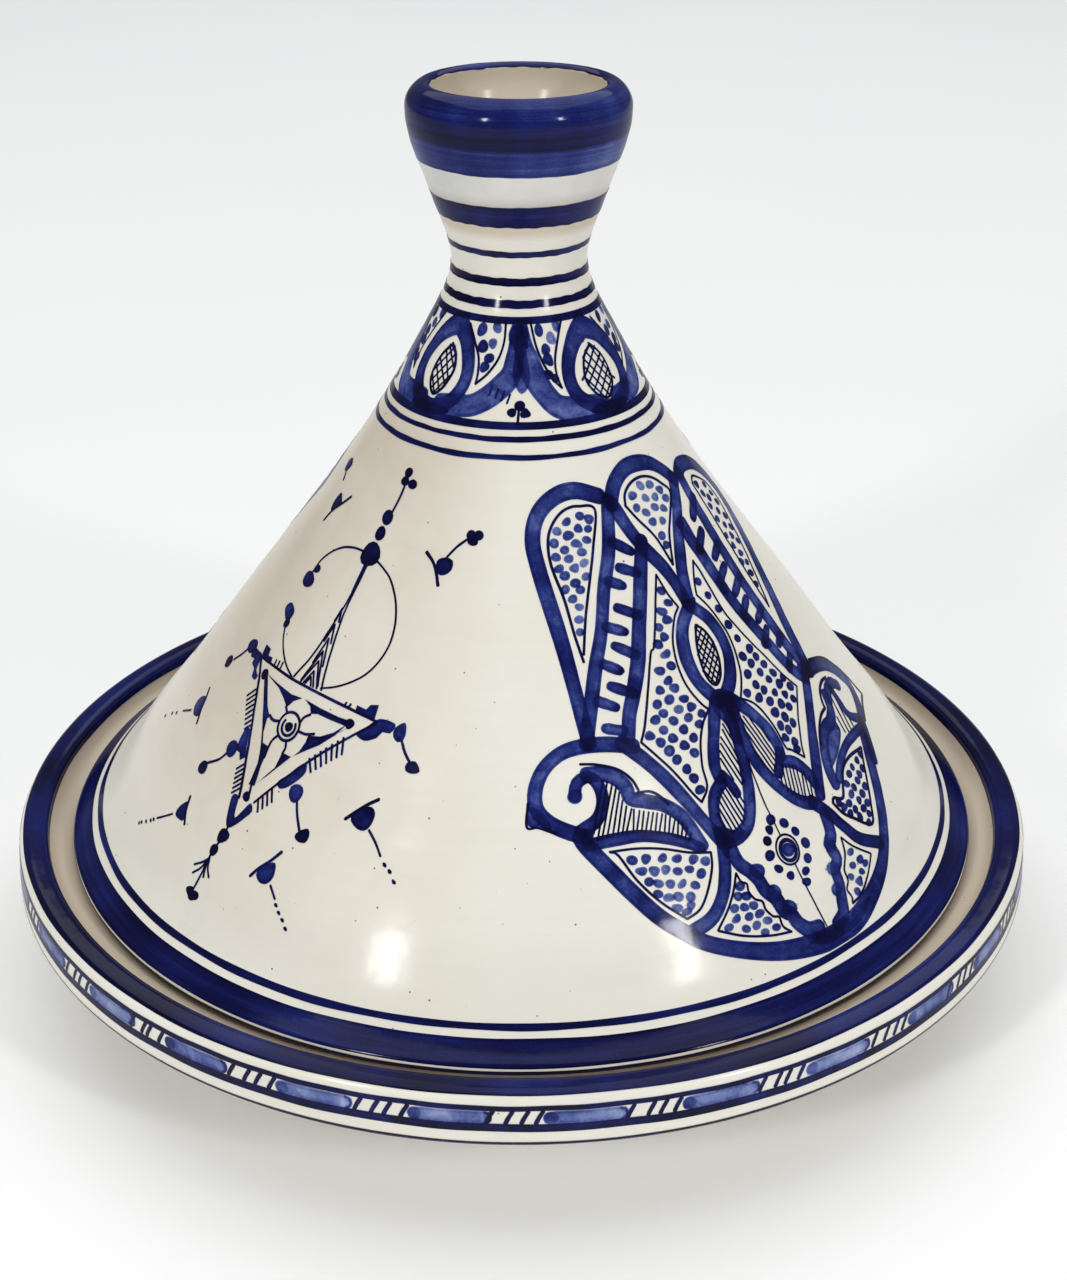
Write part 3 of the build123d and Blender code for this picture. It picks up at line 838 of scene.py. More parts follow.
def right_thumb(p):
    """The other curled thumb, laid out about a middle line 22 degrees further round."""
    p.about_apex(22 * CONE_RATIO)
    p.stroke([(25.5, 65.5), (33, 65.4), (40, 63.7), (46, 60), (50, 56), (50, 52.5), (47, 48), (42, 44)],
             4.3, MID)
    p.stroke([(30, 67.8), (40, 66), (47, 62), (52, 58), (55, 54), (57, 50.5), (57, 50.5), (52, 48.5),
              (46, 44.5)], 1.1)
    p.stroke([(43.5, 45.5), (40, 40), (36, 34.5)], 4.3, MID)
    p.stroke([(40.5, 57), (37, 58.8), (32, 58), (29.2, 55)], 3.6, MID)
    p.stroke([(34, 58), (35.3, 54), (36, 50), (38.5, 47.5), (43, 46)], 3.0, MID)
    p.dot(40.4, 57.2, 2.1, 1.9, 0.3)
    p.stroke([(29, 57.5), (27.6, 53), (24, 50.5), (20, 50), (16, 47.5), (13, 44), (11.3, 40), (10.7, 36)],
             4.2, MID)
    p.stroke([(41, 43.8), (33, 43.6), (25, 42.6), (18, 40), (13, 36.5)], 3.0, MID)
    hatch(p, [(26, 48.8), (29.5, 50.5), (30.5, 54.5), (33.5, 55.5), (34.5, 50), (37, 46.3), (30, 45.3)],
          86, 2.3, 0.7, LINE)
    p.fill([(12.4, 40.5), (16, 46.2), (20, 48.2), (25.5, 49.2), (27, 47), (22.5, 43.9), (16.5, 41.2)], 0.5)
    p.stroke([(35, 61), (30.8, 60.8), (27, 59), (25, 56), (24.9, 54.4)], 1.05)
    p.stroke([(24.9, 54.4), (21, 53.5), (17, 51), (13.5, 47.3)], 1.05)
    p.stroke([(5.5, 32.5), (7, 33.5), (10.5, 32), (14, 35), (18, 38.3), (24, 39.7), (33, 39.5)], 1.0)
    p.stroke([(33, 39.5), (28, 34), (22, 26.5), (17, 21), (10, 26), (7, 29), (5.5, 32.5)], 1.0)
    p.dots([(15.6, 34.3), (19.2, 36), (22.5, 36.9), (26.7, 37.5), (30.4, 38), (7.9, 31.6), (8.9, 29.8),
            (11.9, 29.7), (15, 31.3), (17.9, 32.3), (21.3, 33.1), (23.9, 34.1), (27.1, 34.8),
            (10, 27.2), (13.1, 27.3), (16.9, 28.6), (20.1, 29.4), (23.2, 30.5), (13.3, 24.8),
            (16.9, 26), (20, 26.5), (18.1, 23.8), (15.8, 21.9)], 1.4, 1.15, MID)
    p.about_apex(0)


def brooch(p):
    """A triangular brooch with its pin and ring, and small half-moons scattered about it."""
    # pin head and beads
    p.dots([(-3.2, 138), (-3.4, 135.7), (-0.5, 135.4)], 1.5, 1.25, INK, 0.05)
    p.stroke([(-2.9, 136), (-3.2, 131), (-4.2, 126)], 0.75, INK)
    p.dots([(-4.8, 125.4), (-5.2, 120.8)], 1.9, 2.2, LINE, 0.1)
    p.dot(-5.8, 114.6, 3.5, 3.6, LINE)
    # needle
    p.stroke([(-5.9, 112), (-6.4, 107), (-7.2, 101), (-8.4, 95.5), (-10, 89), (-12.4, 81.5), (-15.8, 75)])
    p.stroke([(-5.8, 112), (-6.2, 105), (-6.8, 97), (-6.2, 88), (-5.2, 80), (-4, 74.2)])
    p.stroke([(-5.9, 112.5), (-6.3, 107), (-6.9, 102)], 1.5, 0.5, ends=(1.2, 0.4))
    for top, reach, drop in ((97.8, 0.9, 4.0), (92.8, 1.5, 5.5), (88.5, 2.3, 8.0), (84.5, 3.8, 9.6)):
        centre = -8.1 - (98 - top) * 0.05
        p.stroke([(centre, top), (centre - reach, top - drop)])
        p.stroke([(centre, top), (centre + reach * 0.8, top - drop)])
    for x, y, reach in ((-8.9, 81.5, 3.6), (-9.1, 78.4, 2.2), (-9.3, 76.6, 1.3)):
        p.stroke([(x, y), (x - reach, 74.4)])
        p.stroke([(x, y), (x + reach * 0.85, 74.2)])
    # ring
    p.stroke([(-3, 113.6), (0.5, 112), (4, 109.8), (7.6, 105.6), (10.2, 100.4), (11.5, 94.5), (11, 89),
              (8.6, 83.4), (5, 79.6), (0.5, 76.6), (-4.5, 74.6)], 0.62, INK)
    p.stroke([(-8.6, 114.9), (-13, 115), (-17.5, 114.2), (-21.8, 112), (-25, 108.8), (-26.5, 105)], 0.7, INK)
    p.dot(-24.9, 106.3, 1.5, 1.4, INK)
    p.fill([(-29.7, 103.2), (-28.6, 105), (-26, 104.9), (-23.9, 102.4), (-25, 100.6), (-27.4, 100.3),
            (-29.3, 101.4)], 0.80)
    p.fill([(-32.1, 92.4), (-31.4, 94.2), (-29.6, 94.6), (-26.9, 92.4), (-27.6, 89.8), (-29.6, 89.4)], 0.76)
    p.dot(-28.3, 88.6, 1.5, 1.5, INK)
    p.stroke([(-28.4, 88), (-27, 84.4), (-24.4, 80.8), (-20.6, 77.2), (-16.4, 74.6)], 0.62, INK)
    # triangle
    p.stroke([(-33.5, 77), (-25, 75.6), (-16, 74.2), (-6, 73.3), (4, 72.6), (16.5, 71.8)], 0.85)
    p.stroke([(17, 71.6), (9, 63.6), (1.5, 56), (-6, 47.6), (-12, 40.2)], 0.75)
    p.stroke([(-33.4, 77), (-29.6, 70), (-25.4, 60), (-22, 51), (-19.3, 43.6), (-18.2, 39.8)], 1.0)
    petals(p)
    # fringes, blocks and drops along its sides
    for k in range(8):
        x, y = -29.2 + 0.62 * k, 68.0 - 1.32 * k
        p.stroke([(x, y), (x - 3.1 + 0.1 * k, y - 2.6 + 0.1 * k)])
    for k in range(6):
        x, y = -21.2 + 0.42 * k, 48.6 - 1.25 * k
        p.stroke([(x, y), (x - 2.6, y - 2.2)])
    for k in range(7):
        x, y = 9.0 - 1.35 * k, 64.6 - 1.4 * k
        p.stroke([(x, y), (x + 1.4 + 0.1 * k, y - 4.2 + 0.2 * k)], 0.75)
    for k in range(4):
        x, y = -7.6 - 1.15 * k, 45.4 - 1.25 * k
        p.stroke([(x, y), (x + 1.7, y - 3.2)], 0.75)
    for x in (-25.8, -24.2, -22.6):
        p.stroke([(x, 75.6), (x + 0.2, 77.6)])
    for x in (5.4, 6.9):
        p.stroke([(x, 72.6), (x + 0.3, 73.6)])
    corner_blocks(p)
    # tassel under the lower corner
    p.dots([(-17.8, 28.9), (-19, 24.4)], 2.0, 1.9, LINE, 0.1)
    p.stroke([(-17.4, 32), (-18, 28), (-19.2, 24), (-19.7, 20), (-20.2, 16), (-21.2, 11.4)], 0.75)
    p.stroke([(-19.2, 22), (-21, 20.2), (-24.2, 18.3)], 0.75)
    p.stroke([(-19.6, 21), (-21.2, 18.2), (-23.6, 16)], 0.75)
    p.stroke([(-19.2, 21.6), (-18.4, 19), (-16.8, 16.9)], 0.75)
    p.stroke([(-19.5, 20.8), (-19.4, 18.4), (-18.8, 16.2)], 0.75)
    p.dots([(-22.2, 11.2), (-20.8, 10), (-19.6, 10.6)], 1.8, 1.35, INK, 0.08)
    half_moons(p)


def petals(p):
    """Six white petals left bare in the dark triangle, round a ringed centre."""
    p.dots([(-28.3, 72.7), (9.2, 68.6), (-15.6, 40.9)], 1.6, 1.5, INK, 0.05)
    p.fill([(-28.5, 73.4), (-21, 71.6), (-14, 70.2), (-9.4, 70.3), (-12.2, 68.6), (-13.8, 66.4),
            (-16.4, 68.4), (-20, 70.6), (-26, 72.6)], LINE, smooth=False)
    p.fill([(-8.4, 70.3), (-2, 69.6), (5, 69.2), (9.6, 69.4), (9.4, 67.6), (3, 67.6), (-2, 67.8),
            (-4.4, 67.2), (-5.6, 69.0)], LINE, smooth=False)
    p.fill([(9.6, 68.0), (7.4, 65.6), (3.6, 63.4), (0.6, 61.2), (-1.6, 59.4), (-2.6, 57.0),
            (-4.6, 55.6), (-0.6, 58.6), (1.6, 60.6)], 0.2, smooth=False)
    p.fill([(8.6, 68.4), (5.4, 64.9), (1.6, 62.6), (-2.4, 61.6), (-2.4, 59.8), (-3.4, 57.0),
            (-4.8, 55.2), (-1.8, 57.4), (2.4, 60.4), (6.2, 64.4)], LINE, smooth=False)
    p.fill([(-9.0, 55.0), (-5.4, 54.8), (-8.6, 51.0), (-11.4, 47.6), (-14.6, 44.6), (-12.8, 46.4),
            (-9.6, 50.6)], LINE, smooth=False)
    p.fill([(-16.6, 44.0), (-14.2, 44.2), (-14.8, 49.6), (-14.8, 55.0), (-17.6, 55.4), (-19.0, 58.0),
            (-19.6, 61.6), (-19.0, 62.4), (-21.6, 65.0), (-26.6, 72.6), (-28.0, 72.0), (-24.4, 66.4),
            (-20.6, 59.8), (-18.0, 54.6), (-16.4, 50.0)], LINE, smooth=False)
    p.stroke([(-14.2, 66.6), (-12.9, 65.2)], 0.8)
    p.stroke([(-4.4, 67.0), (-6.2, 65.6), (-6.9, 63.8)], 0.8)
    p.stroke([(-6.6, 61.7), (-3.4, 61.7), (-0.6, 62.6)], 0.8)
    p.stroke([(-9.4, 58.4), (-8.6, 56.4), (-8.9, 54.6)], 0.8)
    p.stroke([(-13.2, 58.4), (-14.6, 56.4), (-14.9, 52.0)], 0.8)
    p.stroke([(-14.4, 62.3), (-17.0, 61.9), (-19.2, 62.8)], 0.9)
    p.stroke([(-15.6, 44.6), (-15.0, 42.0)], 0.9)
    p.stroke(loop(-10.4, 61.9, 4.0, 3.9), 0.85)
    p.stroke(loop(-10.3, 61.8, 2.5, 2.4, -215, 35, 25), 0.9)
    p.dot(-10.2, 61.8, 1.5, 1.4, INK)


def corner_blocks(p):
    """Blocks and drops at the brooch's three corners."""
    # left corner
    p.dot(-40.6, 79.0, 2.5, 2.4, DEEP)
    p.fill([(-39, 78.8), (-35.6, 78.2), (-33.4, 77.4), (-33.2, 73), (-31.2, 71.6), (-31.6, 70.2),
            (-34, 70.8), (-34.6, 73), (-36.8, 74.4), (-36.6, 75.8), (-39, 76)], DEEP)
    p.fill([(-33.6, 77.6), (-33.4, 80.8), (-30.4, 80), (-30.2, 78), (-27.9, 77.8), (-27.6, 75.9),
            (-31, 76.4)], DEEP, smooth=False)
    p.stroke([(-42.6, 77.6), (-45, 75.6), (-48, 73.6)], 0.8)
    p.fill([(-52.8, 73.4), (-50.4, 74.6), (-48.6, 73.2), (-49.8, 71), (-52.2, 70.9)], INK)
    p.fill([(-26.8, 58), (-24.9, 57.4), (-23.4, 52.8), (-22.2, 50), (-24, 48.8), (-25.2, 50.6),
            (-27.4, 51), (-27.6, 54)], DEEP, smooth=False)
    p.dot(-29.2, 50.8, 2.5, 2.4, DEEP)
    p.stroke([(-30.8, 49), (-33, 46.8), (-37.4, 44.8)], 0.85)
    p.fill([(-41, 43.6), (-39.6, 45), (-37.4, 44.8), (-36.6, 42.6), (-37.8, 41.3), (-40.4, 41.8)], INK)
    # right corner
    p.fill([(9.2, 74), (12.4, 73.8), (13.2, 75.4), (15.6, 76.2), (16, 72), (9.4, 72)], DEEP, smooth=False)
    p.fill([(12.2, 66.8), (15.4, 65.9), (18.6, 67.8), (19.6, 69.8), (21.8, 70.2), (22.4, 73), (17.4, 72.8),
            (14.6, 69.6)], DEEP)
    p.fill([(22.6, 72), (24.8, 74.4), (26, 72.4), (26.2, 70), (24.8, 68.8), (23, 69.8)], DEEP)
    p.stroke([(25.8, 69.6), (28, 67), (31, 64.6)], 0.8)
    p.fill([(29.4, 64.6), (31.6, 66), (33.8, 64), (32.2, 62.8), (30, 62.8)], INK)
    p.fill([(0.4, 54.9), (1.4, 53), (0.2, 50.4), (-2.8, 47.2), (-5.4, 46.2), (-6.6, 47.6), (-4.4, 50),
            (-1.6, 53.4)], DEEP)
    p.dot(0.8, 46.8, 2.5, 2.4, DEEP)
    p.stroke([(2.2, 45), (4, 41.8), (6.6, 38.4)], 0.8)
    p.fill([(5.8, 36.6), (6.6, 38.4), (9, 39.8), (10.2, 38.2), (9.8, 36.2), (7.6, 35.7)], INK)
    # lower corner
    p.fill([(-21, 39.6), (-18.4, 40), (-17.4, 36.4), (-16.4, 34.6), (-14.6, 37.4), (-13, 39.8),
            (-11.3, 38), (-13, 35.4), (-15.4, 32.6), (-17.4, 31.4), (-19.2, 33.2)], DEEP)


def half_moon(p, bar, moon, tone, trail=(), seeds=()):
    """A short bar with a round half-moon under it and a trail of dots."""
    p.stroke(bar, 0.95, tone + 0.1)
    p.fill(moon, tone)
    if trail:
        p.stroke(trail)
    for x, y in seeds:
        p.dot(x, y, 0.75, 0.5, INK, -0.5)


def half_moons(p):
    """The marks scattered about the brooch."""
    half_moon(p, [(11.6, 120), (14.6, 118), (16.6, 115.6), (18.4, 112.6)],
              [(15.4, 118.6), (17.4, 120.4), (19.8, 120.2), (20.4, 117.8), (19, 115.8), (17, 115.6)], 0.84,
              [(17.8, 120.6), (19.4, 124), (21.4, 126.8)])
    p.dots([(22, 128.2), (24, 128.8), (23, 126.8)], 1.5, 1.3, INK, 0.05)
    half_moon(p, [(-33.2, 120.6), (-31.4, 123), (-28, 125.4), (-25.4, 127), (-23.4, 128.4)],
              [(-31.6, 123.6), (-32, 127), (-30, 129.2), (-28, 127.4), (-27.4, 125.6)], 0.78)
    p.fill([(-35.8, 139.4), (-33.6, 139.6), (-31.8, 137.4), (-34, 135.6), (-36.2, 136.6)], 0.74)
    p.stroke([(-34.2, 136.4), (-32.8, 133)], 0.8)
    half_moon(p, [(-55.6, 63.8), (-54.6, 60), (-54.2, 57), (-53, 53.4)],
              [(-55, 61), (-58.6, 60.6), (-60, 57.8), (-57.8, 55.4), (-54, 55.8)], 0.72,
              [(-61, 56.3), (-67, 55.3)], [(-71.5, 54.2), (-75, 53.6), (-80, 52.2)])
    half_moon(p, [(-38.2, 34.6), (-37.4, 31), (-35.2, 27)],
              [(-38, 33), (-41, 30.8), (-41.4, 28.4), (-39, 27.6), (-36.4, 28)], 0.78,
              [(-42.8, 28), (-46, 26.4), (-49.6, 24.8)],
              [(-51.2, 24), (-52.6, 23.3), (-55, 22.3), (-57.6, 21.4), (-59, 20.8)])
    half_moon(p, [(4, 31.6), (1.4, 28), (-1.2, 25), (-2.8, 22.4)],
              [(2.4, 28.2), (4, 27.6), (4.6, 24.6), (3.2, 22.2), (0.6, 22), (-1.2, 24.2)], 0.78,
              [(4.8, 22.4), (7.8, 19.6)], [(8.8, 18.2), (10.5, 16.6), (12.4, 15.2), (14.2, 13.4)])
    half_moon(p, [(25.8, 53.6), (23, 51), (20.6, 48.2), (18.6, 45.8)],
              [(23.8, 51), (26.2, 50.2), (26.4, 47), (25.2, 45), (22.6, 44.8), (20, 46.8)], 0.80,
              [(26.4, 45.6), (29.4, 43.4), (32.2, 40.8)], [(34.2, 39.2), (36.2, 38.2), (38.4, 36.2)])


# ---------------------------------------------------------------- materials

# Places on the pots in metres, as the node materials read them: where a tint starts, is full, starts
# to fade and is gone.
KNOB_WHITE = (0.2365, 0.2385, 0.246, 0.248)     # heights of the white band under the knob's paint
NECK = (0.20, 0.21, 0.25, 0.26)
FLANK = (0.045, 0.095, 0.175, 0.19)
FLANK_SIDE = (-0.87, -0.5, 0)                   # which way the flank with painted shade faces
LEDGE = (0.130, 0.134, 0.1496, 0.1505)          # radii of the ledge's painted shade
LEDGE_LEVEL = (0.0365, 0.0385)
CUP_RADIUS = (0.0262, 0.0252)
CUP_FLOOR = (0.2275, 0.230)
BARE_FOOT = 0.0036      # the dish is bare clay below this height
BARE_SEAT = 0.0408      # the lid is bare clay below this height,
SEAT_RADIUS = 0.1315    # and beyond this radius
COAT = 0.5

WARM = (0.50, 0.40, 0.285, 1)
BLUE_GREY = (0.44, 0.47, 0.53, 1)
BLOOM = (0.52, 0.575, 0.70, 1)
IRON = (0.045, 0.035, 0.03, 1)


class Shader:
    """A material's nodes, added by type and linked by socket."""

    def __init__(self, name):
        self.material = bpy.data.materials.new(name)
        self.material.use_nodes = True
        self.tree = self.material.node_tree
        self.tree.nodes.clear()
        out = self.add("OutputMaterial")
        self.shader = self.add("BsdfPrincipled")
        self.tree.links.new(self.shader.outputs[0], out.inputs[0])
        self.where = self.add("TexCoord").outputs["Object"]

    def add(self, kind, settings=None, **inputs):
        node = self.tree.nodes.new("ShaderNode" + kind)
        for key, value in (settings or {}).items():
            setattr(node, key, value)
        for key, value in inputs.items():
            self.set(node, key, value)
        return node

    def set(self, node, key, value):
        """Links or sets one input, named with _ for a space, or numbered as _0, _1 and so on."""
        key = int(key[1:]) if key[0] == "_" else key.replace("_", " ")
        if isinstance(value, bpy.types.NodeSocket):
            self.tree.links.new(value, node.inputs[key])
        else:
            node.inputs[key].default_value = value

    def noise(self, scale, detail=3.0, roughness=0.5, vector=None, distortion=0.0):
        return self.add("TexNoise", None, Vector=vector or self.where, Scale=scale, Detail=detail,
                        Roughness=roughness, Distortion=distortion).outputs["Fac"]

    def math(self, operation, a, b=0.0, clamp=False):
        return self.add("Math", {"operation": operation, "use_clamp": clamp}, _0=a, _1=b).outputs[0]

    def span(self, value, a, b, c=0.0, d=1.0):
        return self.add("MapRange", None, Value=value, From_Min=a, From_Max=b, To_Min=c,
                        To_Max=d).outputs[0]

    def mix(self, amount, a, b):
        return self.add("Mix", {"data_type": "RGBA"}, _0=amount, _6=a, _7=b).outputs[2]

    def stretched(self, x, y, z):
        return self.add("Mapping", None, Vector=self.where, Scale=(x, y, z)).outputs[0]

    def ramp(self, value, stops):
        node = self.add("ValToRGB", None, Fac=value)
        marks = node.color_ramp.elements
        while len(marks) < len(stops):
            marks.new(0.5)
        for mark, (place, colour) in zip(marks, stops):
            mark.position = place
            mark.color = (*colour, 1)
        return node.outputs[0]


def glaze_relief(m):
    """Orange peel, a fine ripple and throwing rings, the same on glaze and paint."""
    peel = m.noise(85, 2.0, 0.45)
    ripple = m.noise(260, 2.0, 0.5)
    rings = m.noise(1, 2.0, 0.5, vector=m.stretched(9, 9, 330))
    height = m.math("ADD", peel, m.math("MULTIPLY", ripple, 0.16))
    height = m.math("ADD", height, m.math("MULTIPLY", rings, 0.10))
    bump = m.add("Bump", None, Strength=0.5, Distance=0.00026, Height=height)
    m.set(m.shader, "Normal", bump.outputs[0])
    m.set(m.shader, "Coat_Normal", bump.outputs[0])


def gloss(m, coat_roughness):
    """All the shine comes from a thin clear coat, as on a glaze."""
    m.set(m.shader, "Coat_Weight", COAT)
    m.set(m.shader, "Coat_Roughness", coat_roughness)
    m.set(m.shader, "Coat_IOR", 1.37)
    m.set(m.shader, "Specular_IOR_Level", 0.0)


def specks_of(m, scale, small, large):
    """Round specks scattered at random, between two sizes."""
    cells = m.add("TexVoronoi", {"feature": "F1"}, Vector=m.where, Scale=scale, Randomness=1.0)
    chance = m.add("SeparateColor", None, Color=cells.outputs["Color"]).outputs[0]
    size = m.span(chance, 0.0, 1.0, small, large)
    near = m.math("SUBTRACT", size, cells.outputs["Distance"])
    return m.math("MULTIPLY", near, 60.0, clamp=True)


def within(m, value, a, b, c, d):
    """Rises from a to b and falls again from c to d."""
    return m.math("MULTIPLY", m.span(value, a, b), m.span(value, c, d, 1.0, 0.0))


def cream_colour(m, warm):
    """Tin-white glaze over buff clay: clouds, faint blue bloom, iron specks, and a warm tint with painted
    shade.
    """
    clouds = m.span(m.noise(14, 4.0, 0.55), 0.3, 0.7)
    tone = m.mix(clouds, (0.775, 0.742, 0.648, 1), (0.835, 0.812, 0.735, 1))
    streak = m.span(m.noise(1, 3.0, 0.6, vector=m.stretched(14, 14, 420)), 0.35, 0.7)
    tone = m.mix(m.math("MULTIPLY", streak, 0.10), tone, (0.66, 0.62, 0.53, 1))
    bloom = m.span(m.noise(23, 5.0, 0.6, distortion=0.4), 0.60, 0.76)
    tone = m.mix(m.math("MULTIPLY", bloom, 0.30), tone, BLOOM)
    grain = m.span(m.noise(900, 2.0, 0.6), 0.3, 0.7)
    tone = m.mix(m.math("MULTIPLY", grain, 0.05), tone, (0.62, 0.58, 0.50, 1))
    # a warm tint with painted shade: in the cup, on one flank and on the dish's ledge
    tone = m.mix(warm, tone, WARM)
    height = m.add("SeparateXYZ", None, Vector=m.where).outputs[2]
    # a bluish grey tint, in patches, on the white band under the knob's paint
    under_knob_grey = m.math("MULTIPLY", within(m, height, *KNOB_WHITE),
                  m.span(m.noise(55, 4.0, 0.6), 0.3, 0.7, 0.25, 0.85))
    tone = m.mix(m.math("MULTIPLY", under_knob_grey, 0.6), tone, BLUE_GREY)
    return m.mix(m.math("MULTIPLY", specks_of(m, 210, 0.02, 0.075), 0.85), tone, IRON)


def bare_clay(m):
    """Buff clay with a coarse grain."""
    grain = m.span(m.noise(700, 4.0, 0.65), 0.3, 0.7)
    tone = m.mix(grain, (0.42, 0.265, 0.175, 1), (0.60, 0.42, 0.30, 1))
    return m.mix(m.span(m.noise(35, 3.0), 0.35, 0.7, 0, 0.5), tone, (0.50, 0.36, 0.27, 1))


def lid_tint_and_shade(m, height, radius, across):
    """A warm tint and painted shade in the cup and in clouds on one flank; a faint warm tint at the neck."""
    cup = m.math("MULTIPLY", m.span(radius, *CUP_RADIUS), m.span(height, *CUP_FLOOR))
    flank = m.math("MULTIPLY", m.span(across, 0.55, 0.95), within(m, height, *FLANK))
    clouds = m.span(m.noise(11, 4.0, 0.6, distortion=0.5), 0.36, 0.62, 0.4, 1.0)
    flank = m.math("MULTIPLY", flank, clouds)
    neck = m.math("MULTIPLY", within(m, height, *NECK), clouds)
    total = m.math("ADD", m.math("MULTIPLY", cup, 0.55), m.math("MULTIPLY", flank, 0.60))
    return m.math("ADD", total, m.math("MULTIPLY", neck, 0.10), clamp=True)


def dish_tint_and_shade(m, height, radius, across):
    """A warm tint and painted shade on the ledge and the inside of the rim, under the lid's edge."""
    ledge = m.math("MULTIPLY", within(m, radius, *LEDGE), m.span(height, *LEDGE_LEVEL))
    return m.math("MULTIPLY", ledge, 0.78)


def glazed(name, tint_and_shade_of, bare_height, bare_from=0.0):
    """White glaze, and bare clay where the kiln shelf or the seat touched it."""
    m = Shader(name)
    split = m.add("SeparateXYZ", None, Vector=m.where)
    level = m.add("CombineXYZ", None, X=split.outputs[0], Y=split.outputs[1]).outputs[0]
    radius = m.add("VectorMath", {"operation": "LENGTH"}, _0=level).outputs["Value"]
    facing = m.add("VectorMath", {"operation": "NORMALIZE"}, _0=level).outputs["Vector"]
    across = m.add("VectorMath", {"operation": "DOT_PRODUCT"}, _0=facing, _1=FLANK_SIDE).outputs["Value"]
    wander = m.span(m.noise(60, 3.0), 0.3, 0.7, -0.0009, 0.0009)
    height = m.math("ADD", split.outputs[2], wander)
    bare = m.span(height, bare_height + 0.0002, bare_height - 0.0002)
    if bare_from:
        bare = m.math("MULTIPLY", bare, m.span(radius, bare_from - 0.0004, bare_from + 0.0004))
    # the tint passed in carries painted shade into the glaze's colour
    colour = m.mix(bare, cream_colour(m, tint_and_shade_of(m, split.outputs[2], radius, across)), bare_clay(m))
    m.set(m.shader, "Base_Color", colour)
    dry = m.span(bare, 0, 1, 0.0, 0.55)
    rough = m.math("ADD", m.span(m.noise(40, 3.0), 0.3, 0.7, 0.16, 0.30), dry)
    m.set(m.shader, "Roughness", rough)
    gloss(m, 0.18)
    m.set(m.shader, "Coat_Weight", m.span(bare, 0, 1, COAT, 0.0))
    glaze_relief(m)
    return m.material


def cobalt(name, along_band):
    """Cobalt brushed under the glaze: thin where the brush was dry, near black where it pooled."""
    m = Shader(name)
    tone = m.add("Attribute", {"attribute_name": "tone"}).outputs["Fac"]
    edge = m.add("Attribute", {"attribute_name": "edge"}).outputs["Fac"]
    if along_band:
        streak = m.noise(1, 4.0, 0.65, vector=m.stretched(16, 16, 900))
        wash = m.noise(28, 3.0, 0.5)
    else:
        streak = m.noise(170, 4.0, 0.6, distortion=0.6)
        wash = m.noise(75, 3.0, 0.5)
    grain = m.noise(1500, 2.0, 0.6)
    value = m.math("ADD", tone, m.span(streak, 0.3, 0.7, -0.12, 0.12))
    value = m.math("ADD", value, m.span(wash, 0.3, 0.7, -0.13, 0.11))
    value = m.math("ADD", value, m.span(grain, 0.3, 0.7, -0.035, 0.035))
    pool = m.math("MULTIPLY", m.span(edge, 0.15, 0.55, 0.0, 1.0), m.span(edge, 0.55, 1.1, 1.0, 0.0))
    value = m.math("ADD", value, m.math("MULTIPLY", pool, 0.12))
    colour = m.ramp(value, [
        (0.0, (0.42, 0.45, 0.62)),
        (0.25, (0.175, 0.22, 0.44)),
        (0.42, (0.066, 0.095, 0.285)),
        (0.56, (0.021, 0.034, 0.175)),
        (0.70, (0.0075, 0.0125, 0.104)),
        (0.84, (0.0036, 0.0050, 0.055)),
        (1.0, (0.0016, 0.0018, 0.022)),
    ])
    m.set(m.shader, "Base_Color", colour)
    m.set(m.shader, "Roughness", m.span(m.noise(120, 3.0), 0.3, 0.7, 0.15, 0.32))
    gloss(m, 0.11)
    glaze_relief(m)
    return m.material


lid_glaze = glazed("lid_glaze", lid_tint_and_shade, BARE_SEAT, SEAT_RADIUS)
dish_glaze = glazed("dish_glaze", dish_tint_and_shade, BARE_FOOT)
cobalt_bands = cobalt("cobalt_bands", True)
cobalt_brush = cobalt("cobalt_brush", False)

# ---------------------------------------------------------------- the two pots

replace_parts(turned_piece("lid_body", lid, "lid", lid_glaze), "conical_lid")
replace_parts(turned_piece("dish_body", dish, "dish", dish_glaze), "base_dish")


def stripe(shape, a, b, tone, wobble=0.10):
    """A stripe between two (radius, height) points on a turned surface."""
    s = sorted((shape.near(*a), shape.near(*b)))
    return (s[0], s[1], tone, wobble)


def outer(z):
    """The lid's outside at a height, as (radius, height)."""
    return (float(np.interp(z, lid.z[cone], lid.r[cone])), z)


def knob_tone(t):
    """Two strokes of paint that overlap low on the knob, darker there; lighter high up, a painted highlight.
    """
    return np.interp(t, (0, 0.28, 0.31, 0.42, 0.46, 0.62, 0.80, 1),
                     (0.60, 0.62, 0.93, 0.93, 0.82, 0.76, 0.72, 0.76))


def crown_tone(t):
    """The crown's one broad stroke, a little darker at its outer edge."""
    return np.interp(t, (0, 0.5, 1), (0.90, 0.86, 0.84))


band("paint_knob", lid, "lid",
     [stripe(lid, (28.2, 246.5), (23.9, 265.6), knob_tone, 0.14)])
band("paint_neck_lines", lid, "lid", [
    stripe(lid, (25.4, 237.6), (23.0, 231.7), 0.80, 0.12),
    stripe(lid, (20.6, 224.4), (20.1, 222.7), 0.74),
    stripe(lid, (19.5, 217.0), (19.9, 214.6), 0.86),
    stripe(lid, (21.0, 211.2), (21.8, 209.2), 0.84),
])
band("paint_cone_lines", lid, "lid", [
    stripe(lid, outer(178.2), outer(176.7), 0.82),
    stripe(lid, outer(173.9), outer(172.5), 0.80),
])
band("paint_brim_and_edge_shadow", lid, "lid", [
    stripe(lid, (133.6, 49.4), (132.2, 50.9), 0.76),
    stripe(lid, (141.7, 43.3), (135.3, 48.1), 0.84, 0.12),
    # the third stripe, near black under the lid's edge, is painted shadow in the gap above the ledge
    stripe(lid, (140.7, 40.7), (141.75, 42.5), 0.93, 0.05),
])
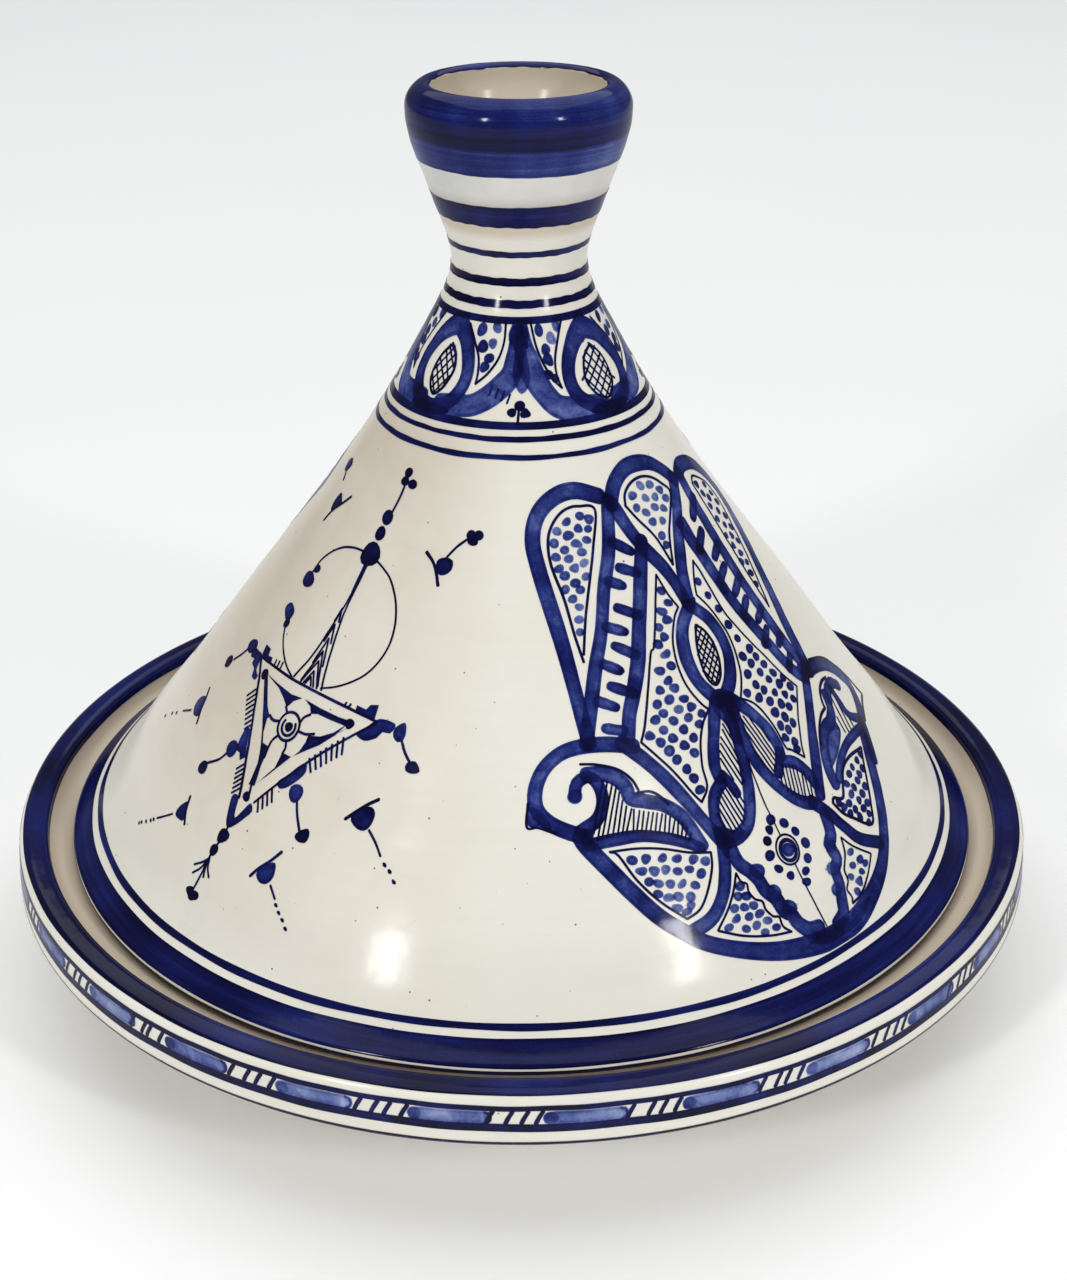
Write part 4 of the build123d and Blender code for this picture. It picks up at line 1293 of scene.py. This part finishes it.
band("paint_crown", dish, "dish", [
    stripe(dish, (156.6, 47.0), (148.6, 44.2), crown_tone, 0.12),
    # a near-black line round the rim's lower corner, where it turns under
    stripe(dish, (157.2, 31.75), (158.75, 34.0), 0.93, 0.08),
], segments=560)

collar_sheet = Sheet(lid, on_cone(0))
collar(collar_sheet)
for angle in (-HALF_SHEET, HALF_SHEET):
    collar_sheet.seams.append([(rho * math.sin(angle), APEX - rho * math.cos(angle)) for rho in (30, 75)])
collar_sheet.make("paint_collar", "lid", on_collar)

for name, turn in (("front", 0), ("back", 180)):
    sheet = Sheet(lid, on_cone(HAND_AZIMUTH + turn))
    hand(sheet)
    sheet.make("paint_hand_" + name, "lid")
    sheet = Sheet(lid, on_cone(BROOCH_AZIMUTH + turn))
    brooch(sheet)
    sheet.make("paint_brooch_" + name, "lid")

rim = Sheet(dish, on_rim)
rim_pattern(rim)
for x in (-math.pi * RIM_RADIUS, math.pi * RIM_RADIUS):
    rim.seams.append([(x, 30), (x, 50)])
rim.make("paint_rim", "dish", on_strip)

# ---------------------------------------------------------------- camera, floor, light

LOOKS_DOWN = math.radians(26.70)
ROLL = math.radians(-0.21)

camera = linked("camera", bpy.data.cameras.new("camera"))
bpy.context.scene.camera = camera
camera.data.sensor_fit = "HORIZONTAL"
camera.data.sensor_width = 36.0
camera.data.lens = 66.07
camera.data.shift_x = 0.0121
camera.data.clip_start = 0.01
camera.location = (0.0, -0.54357, 0.36958)
tilt = Euler((math.radians(90) - LOOKS_DOWN, 0, 0)).to_matrix()
camera.rotation_euler = (tilt @ Matrix.Rotation(ROLL, 3, "Z")).to_euler()


def make_floor():
    """A round pale floor, 9 m in radius."""
    rings, spokes = (0.3, 0.8, 2.0, 5.0, 9.0), 64
    verts = [(0, 0, 0)]
    faces = []
    for n, radius in enumerate(rings):
        for k in range(spokes):
            a = math.tau * k / spokes
            verts.append((radius * math.cos(a), radius * math.sin(a), 0))
            here, after = 1 + n * spokes + k, 1 + n * spokes + (k + 1) % spokes
            if n == 0:
                faces.append((0, here, after))
            else:
                faces.append((here - spokes, here, after, after - spokes))
    mesh = bpy.data.meshes.new("floor")
    mesh.from_pydata(verts, [], faces)
    m = Shader("floor")
    shade = m.span(m.noise(3, 2.0), 0.3, 0.7, 0.0, 1.0)
    m.set(m.shader, "Base_Color", m.mix(shade, (0.945, 0.945, 0.945, 1), (0.96, 0.96, 0.955, 1)))
    m.set(m.shader, "Roughness", 0.75)
    mesh.materials.append(m.material)
    linked("floor", mesh)


make_floor()


def soft_box(name, azimuth, elevation, distance, width, height, power):
    """A rectangular lamp in metres and watts, aimed at the middle of the pot."""
    data = bpy.data.lights.new(name, "AREA")
    data.shape = "RECTANGLE"
    data.size, data.size_y = width, height
    data.energy = power
    light = linked(name, data)
    a, e = math.radians(azimuth), math.radians(elevation)
    target = Vector((0, 0, 0.12))
    out = Vector((math.cos(e) * math.sin(a), -math.cos(e) * math.cos(a), math.sin(e)))
    light.location = target + out * distance
    light.rotation_euler = (-out).to_track_quat("-Z", "Y").to_euler()


soft_box("box_left", -35, 26, 1.6, 0.13, 0.28, 7.4)
soft_box("box_right", 43, 25.5, 1.6, 0.13, 0.28, 6.5)
soft_box("overhead", 180, 72, 3.2, 5.0, 5.0, 114)

world = bpy.data.worlds.new("studio")
world.use_nodes = True
background = world.node_tree.nodes["Background"]
background.inputs["Color"].default_value = (0.94, 0.97, 1.0, 1)
background.inputs["Strength"].default_value = 0.23
bpy.context.scene.world = world
bpy.context.scene.view_settings.view_transform = "Standard"
